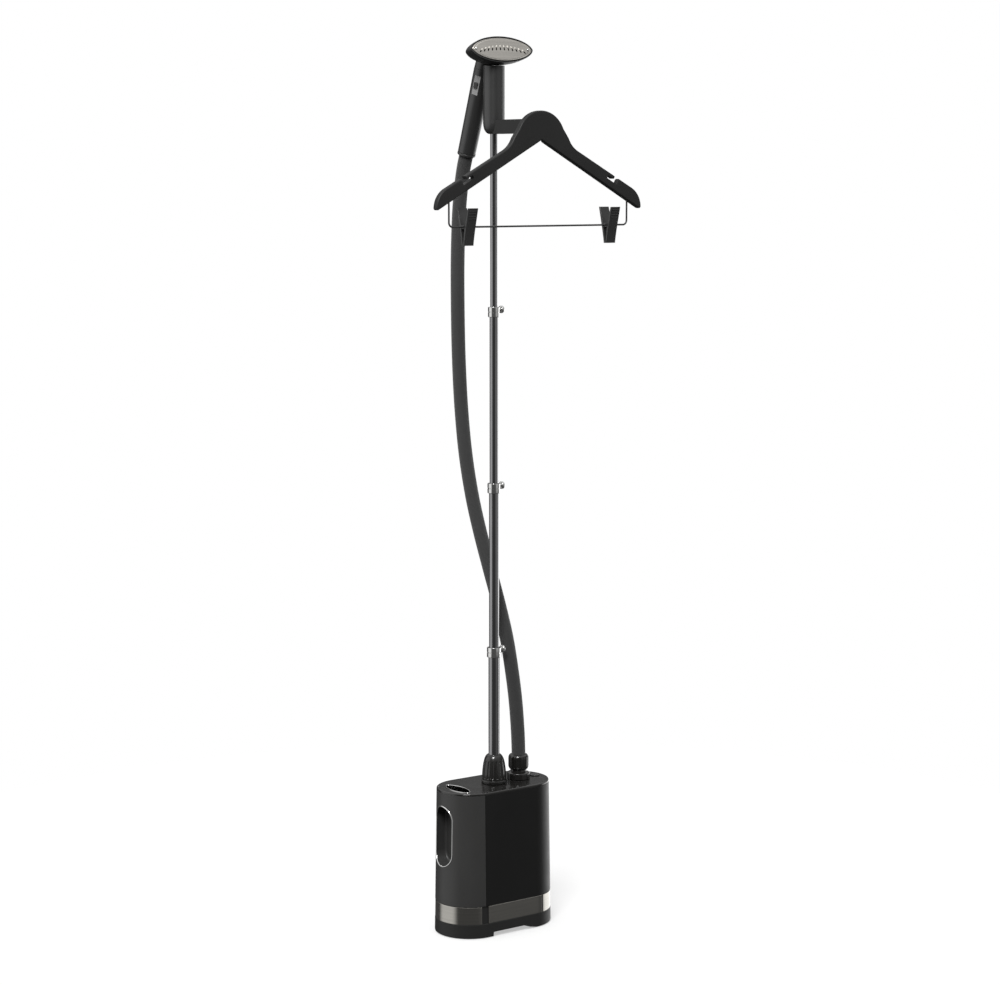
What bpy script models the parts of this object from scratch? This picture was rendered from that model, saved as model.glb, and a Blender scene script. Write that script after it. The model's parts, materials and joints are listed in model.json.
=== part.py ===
"""Standing garment steamer: a base with a slide-out water tank, a telescoping pole, a sleeved steam
hose, a handset resting on its holder and a clothes hanger with two trouser clips.

Metres, +Z up, +X to the tank's far side, -Y to the front. The floor is at Z = 0.
Run with: blender --background --python part.py
"""

import math

import bmesh
import bpy
from mathutils import Vector

# ---------------------------------------------------------------- driving dimensions
GAP = 0.0003  # clearance between neighbouring pieces
POLE_Y = 0.02834  # the pole's place behind the model's origin

# base: a drafted block with two half-round ends
BASE_X = -0.0023
BASE_STRAIGHT = 0.0530
BASE_R_FLOOR = 0.0645
BASE_R_TOP = 0.0605
BASE_HEIGHT = 0.2706
BASE_WALL = 0.0025
COVER_THICKNESS = 0.0040
BAND_LOW, BAND_HIGH = 0.0265, 0.0595
BAND_DEPTH = 0.0022
TRAY_FLOOR = 0.0135
ARCH_HEIGHT = 0.0092
FOOT_LIFT = 0.0008
SEAM_X = -0.0619  # where the tank meets the body
BASE_SEGMENTS = 38

# tank
SLOT_LOW, SLOT_HIGH = 0.1285, 0.2425
SLOT_HALF_WIDTH = 0.0265
SLOT_DEPTH = 0.030
FILL_X = -0.0842
FILL_Y = -0.0040
FILL_LENGTH, FILL_WIDTH = 0.0740, 0.0300
SPOUT_Z = 0.0760
GLAND_X, GLAND_Z = 0.0400, 0.0850

# pole: four nested tubes and three clamps
TUBE_RADII = (0.0103, 0.0091, 0.00795, 0.0067)
TUBE_WALL = 0.00078
TUBE_BOTTOMS = (0.1535, 0.4430, 0.7550, 1.0730)
CLAMP_HEIGHTS = (0.5148, 0.8181, 1.1381)
CLAMP_HALF = 0.0091
CLAMP_WALL = 0.0028
TUBE_TOP_Z = 1.4990

# hose
HOSE_X = 0.0556
HOSE_RADIUS = 0.0130
HOSE_START_Z = 0.2925
NUT_LOW, NUT_HIGH = 0.2883, 0.3160

# holder and hanger arm
HOLDER_RADIUS = 0.0194
HOLDER_LOW, HOLDER_HIGH = 1.4557, 1.5755
ARM_WIDTH, ARM_TOP = 0.0200, 1.4805
HANGER_Y = -0.1395
HANGER_THICKNESS = 0.0120

# handset: its handle leans back as it goes down
HANDLE_FOOT = Vector((0.0, 0.0853, 1.4235))
HANDLE_LEAN = math.radians(20.1)
HANDLE_LENGTH = 0.1580
HANDLE_R_LOW, HANDLE_R_HIGH = 0.0146, 0.0176
HANDLE_BORE = 0.0134
SLIDER_HEIGHT = 0.1290
HEAD_POINT = 1.18
HEAD_CENTRE = Vector((0.0, -0.0255, 1.6040))
PLATE_TILT = math.radians(75.0)
HEAD_HALF_LENGTH, HEAD_HALF_HEIGHT = 0.0672, 0.0236
PLATE_HALF_LENGTH, PLATE_HALF_HEIGHT = 0.0636, 0.0208
SLOT_COUNT = 12

# trouser bar and clips
BAR_RADIUS = 0.0016
BAR_HALF_LENGTH = 0.1925
BAR_Z = 1.2950
CLIP_X = 0.1540
CLIP_WIDTH = 0.0200

MATERIALS = {
    "black_body": ((0.020, 0.020, 0.021), 0.42, 0.0),
    "black_gloss": ((0.012, 0.012, 0.012), 0.12, 0.0),
    "smoked_metal": ((0.22, 0.215, 0.20), 0.22, 1.0),
    "chrome": ((0.80, 0.80, 0.80), 0.10, 1.0),
    "black_chrome": ((0.12, 0.12, 0.12), 0.15, 1.0),
    "rubber": ((0.015, 0.015, 0.015), 0.80, 0.0),
    "hose_fabric": ((0.045, 0.045, 0.047), 0.85, 0.0),
    "satin_black": ((0.022, 0.022, 0.022), 0.50, 0.0),
    "plate_steel": ((0.50, 0.48, 0.45), 0.35, 1.0),
    "cast_alloy": ((0.60, 0.60, 0.60), 0.45, 1.0),
    "board_green": ((0.03, 0.16, 0.07), 0.50, 0.0),
    "silicone": ((0.75, 0.72, 0.66), 0.55, 0.0),
    "spring_steel": ((0.55, 0.55, 0.56), 0.25, 1.0),
}


# ---------------------------------------------------------------- scene helpers
def clear_scene():
    for obj in list(bpy.data.objects):
        bpy.data.objects.remove(obj, do_unlink=True)


def new_collection(name):
    found = bpy.data.collections.new(name)
    bpy.context.scene.collection.children.link(found)
    return found


def make_material(name):
    colour, roughness, metallic = MATERIALS[name]
    material = bpy.data.materials.new(name)
    material.use_nodes = True
    shader = material.node_tree.nodes["Principled BSDF"]
    shader.inputs["Base Color"].default_value = (*colour, 1.0)
    shader.inputs["Roughness"].default_value = roughness
    shader.inputs["Metallic"].default_value = metallic
    return material


def get_material(name):
    return bpy.data.materials.get(name) or make_material(name)


clear_scene()
PARTS = new_collection("garment_steamer")
CUTTERS = new_collection("cutters")


def empty(name, location=(0, 0, 0), parent=None, rotation=(0, 0, 0)):
    obj = bpy.data.objects.new(name, None)
    obj.empty_display_size = 0.02
    obj.location = location
    obj.rotation_euler = rotation
    obj.parent = parent
    PARTS.objects.link(obj)
    return obj


def place(name, data, material, parent, location=(0, 0, 0), rotation=(0, 0, 0)):
    """Put a mesh or a curve in the scene as a named part, or as a cutter if it has no material."""
    obj = bpy.data.objects.new(name, data)
    obj.location = location
    obj.rotation_euler = rotation
    obj.parent = parent
    if material is None:
        obj.hide_render = True
        obj.display_type = "WIRE"
        CUTTERS.objects.link(obj)
        return obj
    if not data.materials:
        data.materials.append(get_material(material))
    PARTS.objects.link(obj)
    return obj


def smooth(mesh, angle=35.0):
    mesh.shade_smooth()
    mesh.set_sharp_from_angle(angle=math.radians(angle))


def to_mesh(name, bm, smooth_angle=35.0):
    bmesh.ops.recalc_face_normals(bm, faces=bm.faces)
    mesh = bpy.data.meshes.new(name)
    bm.to_mesh(mesh)
    bm.free()
    smooth(mesh, smooth_angle)
    return mesh


def boolean(obj, cutter, operation="DIFFERENCE"):
    modifier = obj.modifiers.new(cutter.name, "BOOLEAN")
    modifier.operation = operation
    modifier.object = cutter
    return modifier


def bevel(obj, width, segments=2, angle=40.0):
    modifier = obj.modifiers.new("edge", "BEVEL")
    modifier.width = width
    modifier.segments = segments
    modifier.limit_method = "ANGLE"
    modifier.angle_limit = math.radians(angle)
    return modifier


# ---------------------------------------------------------------- shapes
def turned(name, profile, material, parent, location=(0, 0, 0), rotation=(0, 0, 0), steps=32, closed=True):
    """Turn an outline of (radius, height) round Z; the outline runs down its outer side."""
    mesh = bpy.data.meshes.new(name)
    count = len(profile)
    edges = [(i, (i + 1) % count) for i in range(count if closed else count - 1)]
    mesh.from_pydata([(r, 0.0, z) for r, z in profile], edges, [])
    obj = place(name, mesh, material, parent, location, rotation)
    screw = obj.modifiers.new("turn", "SCREW")
    screw.steps = steps
    screw.render_steps = steps
    screw.use_merge_vertices = True
    screw.merge_threshold = 0.00001
    screw.use_smooth_shade = True
    return obj


def spun_mesh(name, profile, segments, shape, closed=True, flat_ends=False):
    """Spin an outline of (radius, height) round Z, then move each point as shape(radius, angle, z) says.
    Flat ends close a tube with one face each."""
    bm = bmesh.new()
    verts = [bm.verts.new((r, 0.0, z)) for r, z in profile]
    count = len(verts)
    steps = count if closed else count - 1
    edges = [bm.edges.new((verts[i], verts[(i + 1) % count])) for i in range(steps)]
    bmesh.ops.spin(
        bm, geom=verts + edges, cent=(0, 0, 0), axis=(0, 0, 1), angle=2 * math.pi, steps=segments
    )
    bmesh.ops.remove_doubles(bm, verts=bm.verts, dist=0.00001)
    for vert in bm.verts:
        radius = math.hypot(vert.co.x, vert.co.y)
        angle = math.atan2(vert.co.y, vert.co.x)
        vert.co.x, vert.co.y = shape(radius, angle, vert.co.z)
    if flat_ends:
        bmesh.ops.holes_fill(bm, edges=[edge for edge in bm.edges if edge.is_boundary], sides=0)
    return bm


def stadium(radius, angle, z):
    """Two half-round ends, pushed apart by the base's straight length."""
    x = radius * math.cos(angle)
    push = 0.0 if radius < 0.000001 else math.copysign(BASE_STRAIGHT, x)
    return x + push + BASE_X, radius * math.sin(angle)


def almond(half_length, half_height, point=1.5):
    """A pointed oval; a radius of 1 lies on its edge."""

    def shape(radius, angle, z):
        rise = math.sin(angle)
        return (
            half_length * radius * math.cos(angle),
            half_height * radius * math.copysign(abs(rise) ** point, rise),
        )

    return shape


def clip(bm, low_x=None, high_x=None, high_y=None, low_y=None):
    """Keep what lies between the given planes, and close the cuts."""
    planes = (
        (low_x, Vector((-1, 0, 0)), 0),
        (high_x, Vector((1, 0, 0)), 0),
        (low_y, Vector((0, -1, 0)), 1),
        (high_y, Vector((0, 1, 0)), 1),
    )
    for value, outward, axis in planes:
        if value is None:
            continue
        point = Vector((0, 0, 0))
        point[axis] = value
        geometry = bm.verts[:] + bm.edges[:] + bm.faces[:]
        bmesh.ops.bisect_plane(bm, geom=geometry, plane_co=point, plane_no=outward, clear_outer=True)
        rim = [edge for edge in bm.edges if edge.is_boundary]
        bmesh.ops.holes_fill(bm, edges=rim, sides=0)
    return bm


def base_radius(z):
    return BASE_R_FLOOR + (BASE_R_TOP - BASE_R_FLOOR) * z / BASE_HEIGHT


def stadium_solid(name, profile, closed=False, **limits):
    bm = spun_mesh(name, profile, BASE_SEGMENTS, stadium, closed)
    return to_mesh(name, clip(bm, **limits))


def block(name, size, centre, material, parent, rotation=(0, 0, 0), edge=0.0):
    bm = bmesh.new()
    bmesh.ops.create_cube(bm, size=1.0)
    bmesh.ops.scale(bm, vec=size, verts=bm.verts)
    obj = place(name, to_mesh(name, bm), material, parent, centre, rotation)
    if edge:
        bevel(obj, edge)
    return obj


def rod(name, radius, length, centre, material, parent, rotation=(0, 0, 0), segments=24):
    bm = bmesh.new()
    bmesh.ops.create_cone(
        bm, cap_ends=True, segments=segments, radius1=radius, radius2=radius, depth=length
    )
    return place(name, to_mesh(name, bm), material, parent, centre, rotation)


def tube_curve(name, points, radius, material, parent, resolution=2):
    """A round bar along a smooth route."""
    curve = bpy.data.curves.new(name, "CURVE")
    curve.dimensions = "3D"
    spline = curve.splines.new("POLY")
    spline.points.add(len(points) - 1)
    for target, point in zip(spline.points, points):
        target.co = (*point, 1.0)
    curve.bevel_depth = radius
    curve.bevel_resolution = resolution
    curve.use_fill_caps = True
    return place(name, curve, material, parent)


def flat_outline(name, points, half_thickness, material, parent, location, rotation):
    """A flat shape of even thickness, as a closed mesh that can be cut."""
    curve = bpy.data.curves.new(name, "CURVE")
    curve.dimensions = "2D"
    curve.fill_mode = "BOTH"
    curve.extrude = half_thickness
    spline = curve.splines.new("POLY")
    spline.points.add(len(points) - 1)
    for target, point in zip(spline.points, points):
        target.co = (point[0], point[1], 0.0, 1.0)
    spline.use_cyclic_u = True
    maker = place(name + "_outline", curve, None, parent, location, rotation)
    bpy.context.view_layer.update()
    mesh = bpy.data.meshes.new_from_object(maker.evaluated_get(bpy.context.evaluated_depsgraph_get()))
    bpy.data.objects.remove(maker, do_unlink=True)
    bm = bmesh.new()
    bm.from_mesh(mesh)
    bmesh.ops.remove_doubles(bm, verts=bm.verts, dist=0.000001)
    bpy.data.meshes.remove(mesh)
    return place(name, to_mesh(name, bm), material, parent, location, rotation)


def smooth_route(points, spacing):
    """Points at even steps along a Catmull-Rom curve through the route's own points."""
    knots = [Vector(p) for p in points]
    ends = [2 * knots[0] - knots[1]] + knots + [2 * knots[-1] - knots[-2]]
    dense = []
    for i in range(1, len(ends) - 2):
        a, b, c, d = ends[i - 1 : i + 3]
        for step in range(20):
            t = step / 20
            dense.append(
                0.5
                * (
                    2 * b
                    + (c - a) * t
                    + (2 * a - 5 * b + 4 * c - d) * t * t
                    + (3 * b - a - 3 * c + d) * t * t * t
                )
            )
    dense.append(knots[-1])
    total = sum((q - p).length for p, q in zip(dense, dense[1:]))
    count = max(2, round(total / spacing))
    step, travelled, route = total / count, 0.0, [dense[0]]
    for p, q in zip(dense, dense[1:]):
        length = (q - p).length
        while len(route) < count and travelled + length >= step * len(route) - 1e-9:
            route.append(p.lerp(q, (step * len(route) - travelled) / length))
        travelled += length
    route.append(dense[-1])
    return route


# ---------------------------------------------------------------- base
def foot_places():
    return [(-0.083, -0.028), (-0.083, 0.028), (0.079, -0.028), (0.079, 0.028)]


def make_tray(root):
    """The foot of the base: a skirt, a set-in collar that carries the band, and a shallow arch below."""
    skirt = base_radius(BAND_LOW)
    collar_low = skirt - BAND_DEPTH
    collar_high = base_radius(BAND_HIGH) - BAND_DEPTH
    profile = [
        (0.0, TRAY_FLOOR),
        (collar_high - 0.003, TRAY_FLOOR),
        (collar_high - 0.003, BAND_HIGH + 0.0002),
        (collar_high, BAND_HIGH + 0.0002),
        (collar_low, BAND_LOW),
        (skirt, BAND_LOW),
        (BASE_R_FLOOR, 0.0030),
        (BASE_R_FLOOR - 0.0018, FOOT_LIFT),
        (0.0, FOOT_LIFT),
    ]
    tray = place("base_tray", stadium_solid("base_tray", profile), "black_body", root)
    arch = [
        (-0.0460, -0.0100),
        (0.0530, -0.0100),
        (0.0530, 0.0009),
        (0.0355, 0.0046),
        (0.0220, ARCH_HEIGHT),
        (-0.0460, ARCH_HEIGHT),
    ]
    boolean(tray, flat_outline("arch_cut", arch, 0.09, None, root, (0, 0, 0), (math.pi / 2, 0, 0)))
    for index, (x, y) in enumerate(foot_places(), 1):
        boolean(tray, rod(f"foot_recess_{index}", 0.0086, 0.004, (x, y, 0.0), None, root, segments=20))
        pad = rod(f"foot_pad_{index}", 0.0082, 0.0016, (x, y, 0.0008), "rubber", root, segments=20)
        pad.data.name = pad.name


def make_band(root):
    """Four polished strips let into the foot, with a gap at each corner."""
    spans = {
        "band_left": {"high_x": -0.0702},
        "band_front": {"low_x": -0.0568, "high_x": 0.0656, "high_y": 0.0},
        "band_rear": {"low_x": -0.0568, "high_x": 0.0656, "low_y": 0.0},
        "band_right": {"low_x": 0.0680},
    }
    low, high = BAND_LOW + GAP, BAND_HIGH - GAP
    inner, outer = -BAND_DEPTH + GAP, -0.0004
    profile = [
        (base_radius(high) + outer, high),
        (base_radius(low) + outer, low),
        (base_radius(low) + inner, low),
        (base_radius(high) + inner, high),
    ]
    for name, limits in spans.items():
        place(name, stadium_solid(name, profile, closed=True, **limits), "smoked_metal", root)


def solid_profile(low, high, inset):
    return [
        (0.0, high),
        (base_radius(high) - inset, high),
        (base_radius(low) - inset, low),
        (0.0, low),
    ]


def cover_profile(low):
    top = BASE_HEIGHT
    return [
        (0.0, top),
        (BASE_R_TOP - 0.0026, top),
        (BASE_R_TOP - 0.0008, top - 0.0006),
        (BASE_R_TOP, top - 0.0022),
        (base_radius(low), low),
        (0.0, low),
    ]


def make_body(root):
    """The main casing with its glossy top cover, and the openings through both."""
    low = BAND_HIGH + 0.0005
    high = BASE_HEIGHT - COVER_THICKNESS - GAP
    shell = place(
        "base_shell",
        stadium_solid("base_shell", solid_profile(low, high, 0.0), low_x=SEAM_X + GAP / 2),
        "black_body",
        root,
    )
    inside = stadium_solid(
        "shell_inside",
        solid_profile(low - 0.01, high - BASE_WALL, BASE_WALL),
        low_x=SEAM_X + BASE_WALL,
    )
    boolean(shell, place("shell_inside", inside, None, root))
    cover = place(
        "top_cover",
        stadium_solid("top_cover", cover_profile(BASE_HEIGHT - COVER_THICKNESS), low_x=SEAM_X + GAP / 2),
        "black_gloss",
        root,
    )
    holes = {
        "pole_hole": (0.0, 0.0132),
        "hose_hole": (HOSE_X, 0.0092),
        "button_hole": (0.0930, 0.0093),
    }
    for name, (x, radius) in holes.items():
        cutter = rod(name, radius, 0.030, (x, 0.0, BASE_HEIGHT - 0.004), None, root, segments=28)
        boolean(shell, cutter)
        boolean(cover, cutter)
    gland_hole = rod(
        "gland_hole", 0.0068, 0.03, (GLAND_X, 0.058, GLAND_Z), None, root, (math.pi / 2, 0, 0), 20
    )
    boolean(shell, gland_hole)
    spout_hole = rod(
        "spout_hole", 0.0098, 0.02, (SEAM_X, 0.0, SPOUT_Z), None, root, (0, math.pi / 2, 0), 20
    )
    boolean(shell, spout_hole)


def make_tank(tank):
    """The water tank slides out sideways; its end has a hand slot and its top the filling opening."""
    low = BAND_HIGH + 0.0005
    high = BASE_HEIGHT - COVER_THICKNESS - GAP
    body = place(
        "water_tank",
        stadium_solid("water_tank", solid_profile(low, high, 0.0), high_x=SEAM_X - GAP / 2),
        "black_body",
        tank,
    )
    room = place(
        "tank_inside",
        stadium_solid(
            "tank_inside",
            solid_profile(low + BASE_WALL, high - BASE_WALL, BASE_WALL),
            high_x=SEAM_X - BASE_WALL,
        ),
        None,
        tank,
    )
    slot_middle = (SLOT_LOW + SLOT_HIGH) / 2
    slot_height = SLOT_HIGH - SLOT_LOW
    end_x = BASE_X - BASE_STRAIGHT - BASE_R_FLOOR
    wall = block(
        "slot_wall",
        (2 * SLOT_DEPTH + 0.004, 2 * SLOT_HALF_WIDTH + 0.005, slot_height + 0.005),
        (end_x, 0.0, slot_middle),
        None,
        tank,
    )
    boolean(room, wall)
    boolean(body, room)
    slot = rounded_slot("slot_cut", SLOT_HALF_WIDTH, slot_height, SLOT_DEPTH, None, tank)
    slot.location = (end_x, 0.0, slot_middle)
    boolean(body, slot)
    lid = place(
        "tank_lid",
        stadium_solid("tank_lid", cover_profile(BASE_HEIGHT - COVER_THICKNESS), high_x=SEAM_X - GAP / 2),
        "black_gloss",
        tank,
    )
    outlet = rod("tank_outlet", 0.0034, 0.012, (SEAM_X, 0.0, SPOUT_Z), None, tank, (0, math.pi / 2, 0), 16)
    boolean(body, outlet)
    opening = eye_ring("fill_cut", FILL_LENGTH / 2, FILL_WIDTH / 2, 0.0, 0.02, None, tank)
    opening.location = (FILL_X, FILL_Y, BASE_HEIGHT - 0.004)
    opening.rotation_euler = (0, 0, math.pi / 2)
    boolean(body, opening)
    boolean(lid, opening)
    rim = eye_ring(
        "fill_rim", FILL_LENGTH / 2 - GAP, FILL_WIDTH / 2 - GAP, 0.0013, 0.0074, "chrome", tank
    )
    rim.location = (FILL_X, FILL_Y, BASE_HEIGHT - 0.0031)
    rim.rotation_euler = (0, 0, math.pi / 2)
    make_slot_trim(tank, end_x, slot_middle, slot_height)
    spout = [
        (0.0040, 0.0),
        (0.0075, 0.0),
        (0.0090, -0.0040),
        (0.0090, -0.0110),
        (0.0040, -0.0110),
    ]
    turned(
        "tank_spout", spout, "rubber", tank, (SEAM_X + 0.0113, 0.0, SPOUT_Z), (0, math.pi / 2, 0), 20
    )


def rounded_slot(name, half_width, height, half_depth, material, parent):
    """An upright slot with half-round ends, along X."""
    bm = bmesh.new()
    bmesh.ops.create_cone(
        bm, cap_ends=True, segments=26, radius1=half_width, radius2=half_width, depth=2 * half_depth
    )
    for vert in bm.verts:
        vert.co.x += math.copysign(height / 2 - half_width, vert.co.x)
    return place(name, to_mesh(name, bm), material, parent, rotation=(0, math.pi / 2, 0))


def eye_ring(name, half_length, half_width, wall, height, material, parent):
    """A pointed oval that is solid, or a ring if it has a wall."""
    half = height / 2
    shape = almond(1.0, 1.0, 1.35)

    def outline(radius, angle, z):
        inset = (1.0 - radius) * 10.0 * wall
        x, y = shape(1.0, angle, z)
        return x * (half_length - inset * 1.8), y * (half_width - inset)

    inner = 0.9
    profile = [(1.0, half), (1.0, -half), (inner, -half), (inner, half)]
    if not wall:
        profile = [(1.0, half), (1.0, -half)]
    bm = spun_mesh(name, profile, 32, outline, closed=bool(wall), flat_ends=not wall)
    return place(name, to_mesh(name, bm), material, parent)


def make_slot_trim(tank, end_x, middle, height):
    """A polished ring let into the hand slot's mouth, standing just proud of the tank's round end."""
    ring = rounded_slot("grip_trim", SLOT_HALF_WIDTH - GAP, height - 2 * GAP, 0.010, "chrome", tank)
    ring.location = (end_x + 0.012, 0.0, middle)
    inner = rounded_slot("trim_bore", SLOT_HALF_WIDTH - 0.0024, height - 0.0048, 0.030, None, tank)
    inner.location = (end_x + 0.012, 0.0, middle)
    boolean(ring, inner)
    outside = stadium_solid("trim_face", solid_profile(SLOT_LOW - 0.01, SLOT_HIGH + 0.01, -0.0008))
    face = place("trim_face", outside, None, tank)
    boolean(ring, face, "INTERSECT")


# ---------------------------------------------------------------- inside the base
def make_works(root):
    """Boiler, pump, control board, valve seat and the pipes between them."""
    boiler = [
        (0.0, 0.0980),
        (0.0060, 0.0980),
        (0.0300, 0.0920),
        (0.0300, 0.0560),
        (0.0340, 0.0560),
        (0.0340, 0.0500),
        (0.0300, 0.0500),
        (0.0300, 0.0180),
        (0.0, 0.0180),
    ]
    turned("boiler", boiler, "cast_alloy", root, (HOSE_X, 0.0, 0.0), steps=20, closed=False)
    pipe = [
        (0.0035, 0.2650),
        (0.0060, 0.2650),
        (0.0060, 0.0985),
        (0.0035, 0.0985),
    ]
    turned("steam_pipe", pipe, "cast_alloy", root, (HOSE_X, 0.0, 0.0), steps=16)
    seat = [
        (0.0045, 0.0120),
        (0.0140, 0.0120),
        (0.0140, 0.0),
        (0.0110, 0.0),
        (0.0110, 0.0090),
        (0.0045, 0.0090),
    ]
    turned(
        "valve_seat", seat, "rubber", root, (SEAM_X + BASE_WALL + GAP, 0.0, SPOUT_Z),
        (0, math.pi / 2, 0), 20,
    )
    block("water_pump", (0.034, 0.044, 0.030), (-0.022, 0.0, 0.0292), "black_gloss", root, edge=0.003)
    block("control_board", (0.090, 0.0016, 0.060), (0.005, 0.046, 0.1150), "board_green", root)
    suction = [
        (-0.0465, 0.0, SPOUT_Z),
        (-0.0400, 0.0, SPOUT_Z),
        (-0.0330, 0.0, SPOUT_Z - 0.004),
        (-0.0290, 0.0, SPOUT_Z - 0.013),
        (-0.0290, 0.0, 0.0446),
    ]
    tube_curve("suction_hose", smooth_route(suction, 0.006), 0.0036, "silicone", root)
    feed = [
        (-0.0150, 0.0, 0.0446),
        (-0.0150, 0.0, 0.0600),
        (-0.0060, 0.0, 0.0720),
        (0.0080, 0.0, 0.0740),
        (0.0250, 0.0, 0.0740),
    ]
    tube_curve("feed_hose", smooth_route(feed, 0.006), 0.0030, "silicone", root)
    gland = [
        (0.0030, 0.0110),
        (0.0050, 0.0110),
        (0.0064, 0.0050),
        (0.0064, 0.0042),
        (0.0095, 0.0042),
        (0.0095, 0.0003),
        (0.0064, 0.0003),
        (0.0064, -0.0080),
        (0.0030, -0.0080),
    ]
    gland_at = (GLAND_X, base_radius(GLAND_Z), GLAND_Z)
    turned("mains_gland", gland, "rubber", root, gland_at, (-math.pi / 2, 0, 0), 16)


def make_button(button):
    profile = [
        (0.0, 0.0016),
        (0.0075, 0.0014),
        (0.0088, 0.0004),
        (0.0088, -0.0080),
        (0.0, -0.0080),
    ]
    turned("power_button", profile, "satin_black", button, steps=20, closed=False)


# ---------------------------------------------------------------- pole
def make_socket(root):
    """The sleeve that holds the lowest tube, and the fluted collar round it."""
    sleeve = [
        (0.0, TUBE_BOTTOMS[0] - GAP),
        (TUBE_RADII[0] + GAP, TUBE_BOTTOMS[0] - GAP),
        (TUBE_RADII[0] + GAP, BASE_HEIGHT + 0.0001),
        (0.0128, BASE_HEIGHT + 0.0001),
        (0.0128, 0.1500),
        (0.0, 0.1500),
    ]
    turned("pole_sleeve", sleeve, "black_body", root, steps=24, closed=False)
    low = BASE_HEIGHT + 0.0004
    profile = [
        (TUBE_RADII[0] + GAP, 0.3236),
        (0.0128, 0.3232),
        (0.0158, 0.3195),
        (0.0196, 0.3105),
        (0.0216, 0.2960),
        (0.0222, 0.2800),
        (0.0222, 0.2762),
        (0.0236, 0.2758),
        (0.0236, low),
        (TUBE_RADII[0] + GAP, low),
    ]
    flutes, depth = 16, 0.0009

    def fluted(radius, angle, z):
        if 0.2790 < z < 0.3200 and radius > 0.0150:
            radius -= depth * (0.5 + 0.5 * math.cos(flutes * angle))
        return radius * math.cos(angle), radius * math.sin(angle)

    bm = spun_mesh("pole_collar", profile, 2 * flutes, fluted)
    place("pole_collar", to_mesh("pole_collar", bm, 50.0), "black_gloss", root)


def make_tube(index, parent):
    outer = TUBE_RADII[index]
    inner = outer - TUBE_WALL
    top = CLAMP_HEIGHTS[index] if index < len(CLAMP_HEIGHTS) else TUBE_TOP_Z
    bottom = TUBE_BOTTOMS[index]
    profile = [(outer, top), (outer, bottom), (inner, bottom), (inner, top)]
    turned(f"pole_tube_{index + 1}", profile, "black_chrome", parent, steps=24)


def make_clamp(index, parent):
    """A collar on the lower tube's end, with a boss for the thumb screw that grips the next tube."""
    lower = TUBE_RADII[index] + GAP
    upper = TUBE_RADII[index + 1] + GAP
    middle = CLAMP_HEIGHTS[index]
    outer = lower + CLAMP_WALL - GAP
    profile = [
        (upper, middle + CLAMP_HALF),
        (outer - 0.0012, middle + CLAMP_HALF),
        (outer, middle + CLAMP_HALF - 0.0012),
        (outer, middle - CLAMP_HALF + 0.0012),
        (outer - 0.0012, middle - CLAMP_HALF),
        (lower, middle - CLAMP_HALF),
        (lower, middle + GAP),
        (upper, middle + GAP),
    ]
    collar = turned(f"clamp_collar_{index + 1}", profile, "chrome", parent, steps=20)
    height = middle + 0.0042
    boss = rod(
        f"clamp_boss_{index + 1}",
        0.0040,
        0.0030,
        (outer + 0.0008, 0.0, height),
        None,
        parent,
        (0, math.pi / 2, 0),
        16,
    )
    boolean(collar, boss, "UNION")
    hole = rod(
        f"clamp_hole_{index + 1}", 0.0020, 0.014, (outer - 0.001, 0.0, height), None, parent,
        (0, math.pi / 2, 0), 12
    )
    boolean(collar, hole)


def clamp_axis(index):
    """Where the thumb screw's head meets its boss."""
    outer = TUBE_RADII[index] + CLAMP_WALL
    return Vector((outer + 0.0023, 0.0, CLAMP_HEIGHTS[index] + 0.0042))


def make_thumb_screw(index, screw):
    """Turned along the screw's own axis: a shank that reaches the tube, and a grooved head."""
    reach = TUBE_RADII[index] + CLAMP_WALL + 0.0023 - TUBE_RADII[index + 1] - GAP
    profile = [
        (0.0, 0.0062),
        (0.0040, 0.0062),
        (0.0052, 0.0052),
        (0.0052, 0.0012),
        (0.0040, 0.0003),
        (0.0017, 0.0003),
        (0.0017, -reach),
        (0.0, -reach),
    ]
    grooves, depth = 10, 0.0007

    def knurled(radius, angle, z):
        if radius > 0.0050:
            radius -= depth * (0.5 + 0.5 * math.cos(grooves * angle))
        return radius * math.cos(angle), radius * math.sin(angle)

    name = f"thumb_screw_{index + 1}"
    bm = spun_mesh(name, profile, 2 * grooves, knurled, closed=False)
    place(name, to_mesh(name, bm, 50.0), "chrome", screw)


# ---------------------------------------------------------------- hose
def hose_route():
    """Up from the base, round behind the pole in one long bow, and into the handle's foot."""
    along = Vector((0.0, -math.sin(HANDLE_LEAN), math.cos(HANDLE_LEAN)))
    inside = [HANDLE_FOOT + along * reach for reach in (-0.030, 0.0, 0.025, 0.050)]
    free = [
        (HOSE_X, 0.0000, HOSE_START_Z),
        (HOSE_X, 0.0002, 0.3200),
        (0.0548, 0.0016, 0.3600),
        (0.0520, 0.0045, 0.4150),
        (0.0475, 0.0095, 0.4700),
        (0.0412, 0.0185, 0.5350),
        (0.0330, 0.0330, 0.6000),
        (0.0245, 0.0510, 0.6650),
        (0.0165, 0.0690, 0.7300),
        (0.0095, 0.0850, 0.7980),
        (0.0040, 0.0975, 0.8750),
        (0.0010, 0.1065, 0.9600),
        (0.0, 0.1125, 1.0500),
        (0.0, 0.1155, 1.1400),
        (0.0, 0.1155, 1.2300),
        (0.0, 0.1110, 1.3100),
        (0.0, 0.1035, 1.3620),
    ]
    return [Vector(point) for point in free] + inside


def make_hose(root):
    tube_curve("steam_hose", smooth_route(hose_route(), 0.030), HOSE_RADIUS, "hose_fabric", root)
    low = BASE_HEIGHT + 0.0004
    flange = [
        (0.0065, 0.2878),
        (0.0150, 0.2878),
        (0.0150, 0.2850),
        (0.0206, 0.2830),
        (0.0214, 0.2815),
        (0.0214, low),
        (0.0065, low),
    ]
    turned("hose_flange", flange, "black_gloss", root, (HOSE_X, 0.0, 0.0), steps=24)


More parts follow.
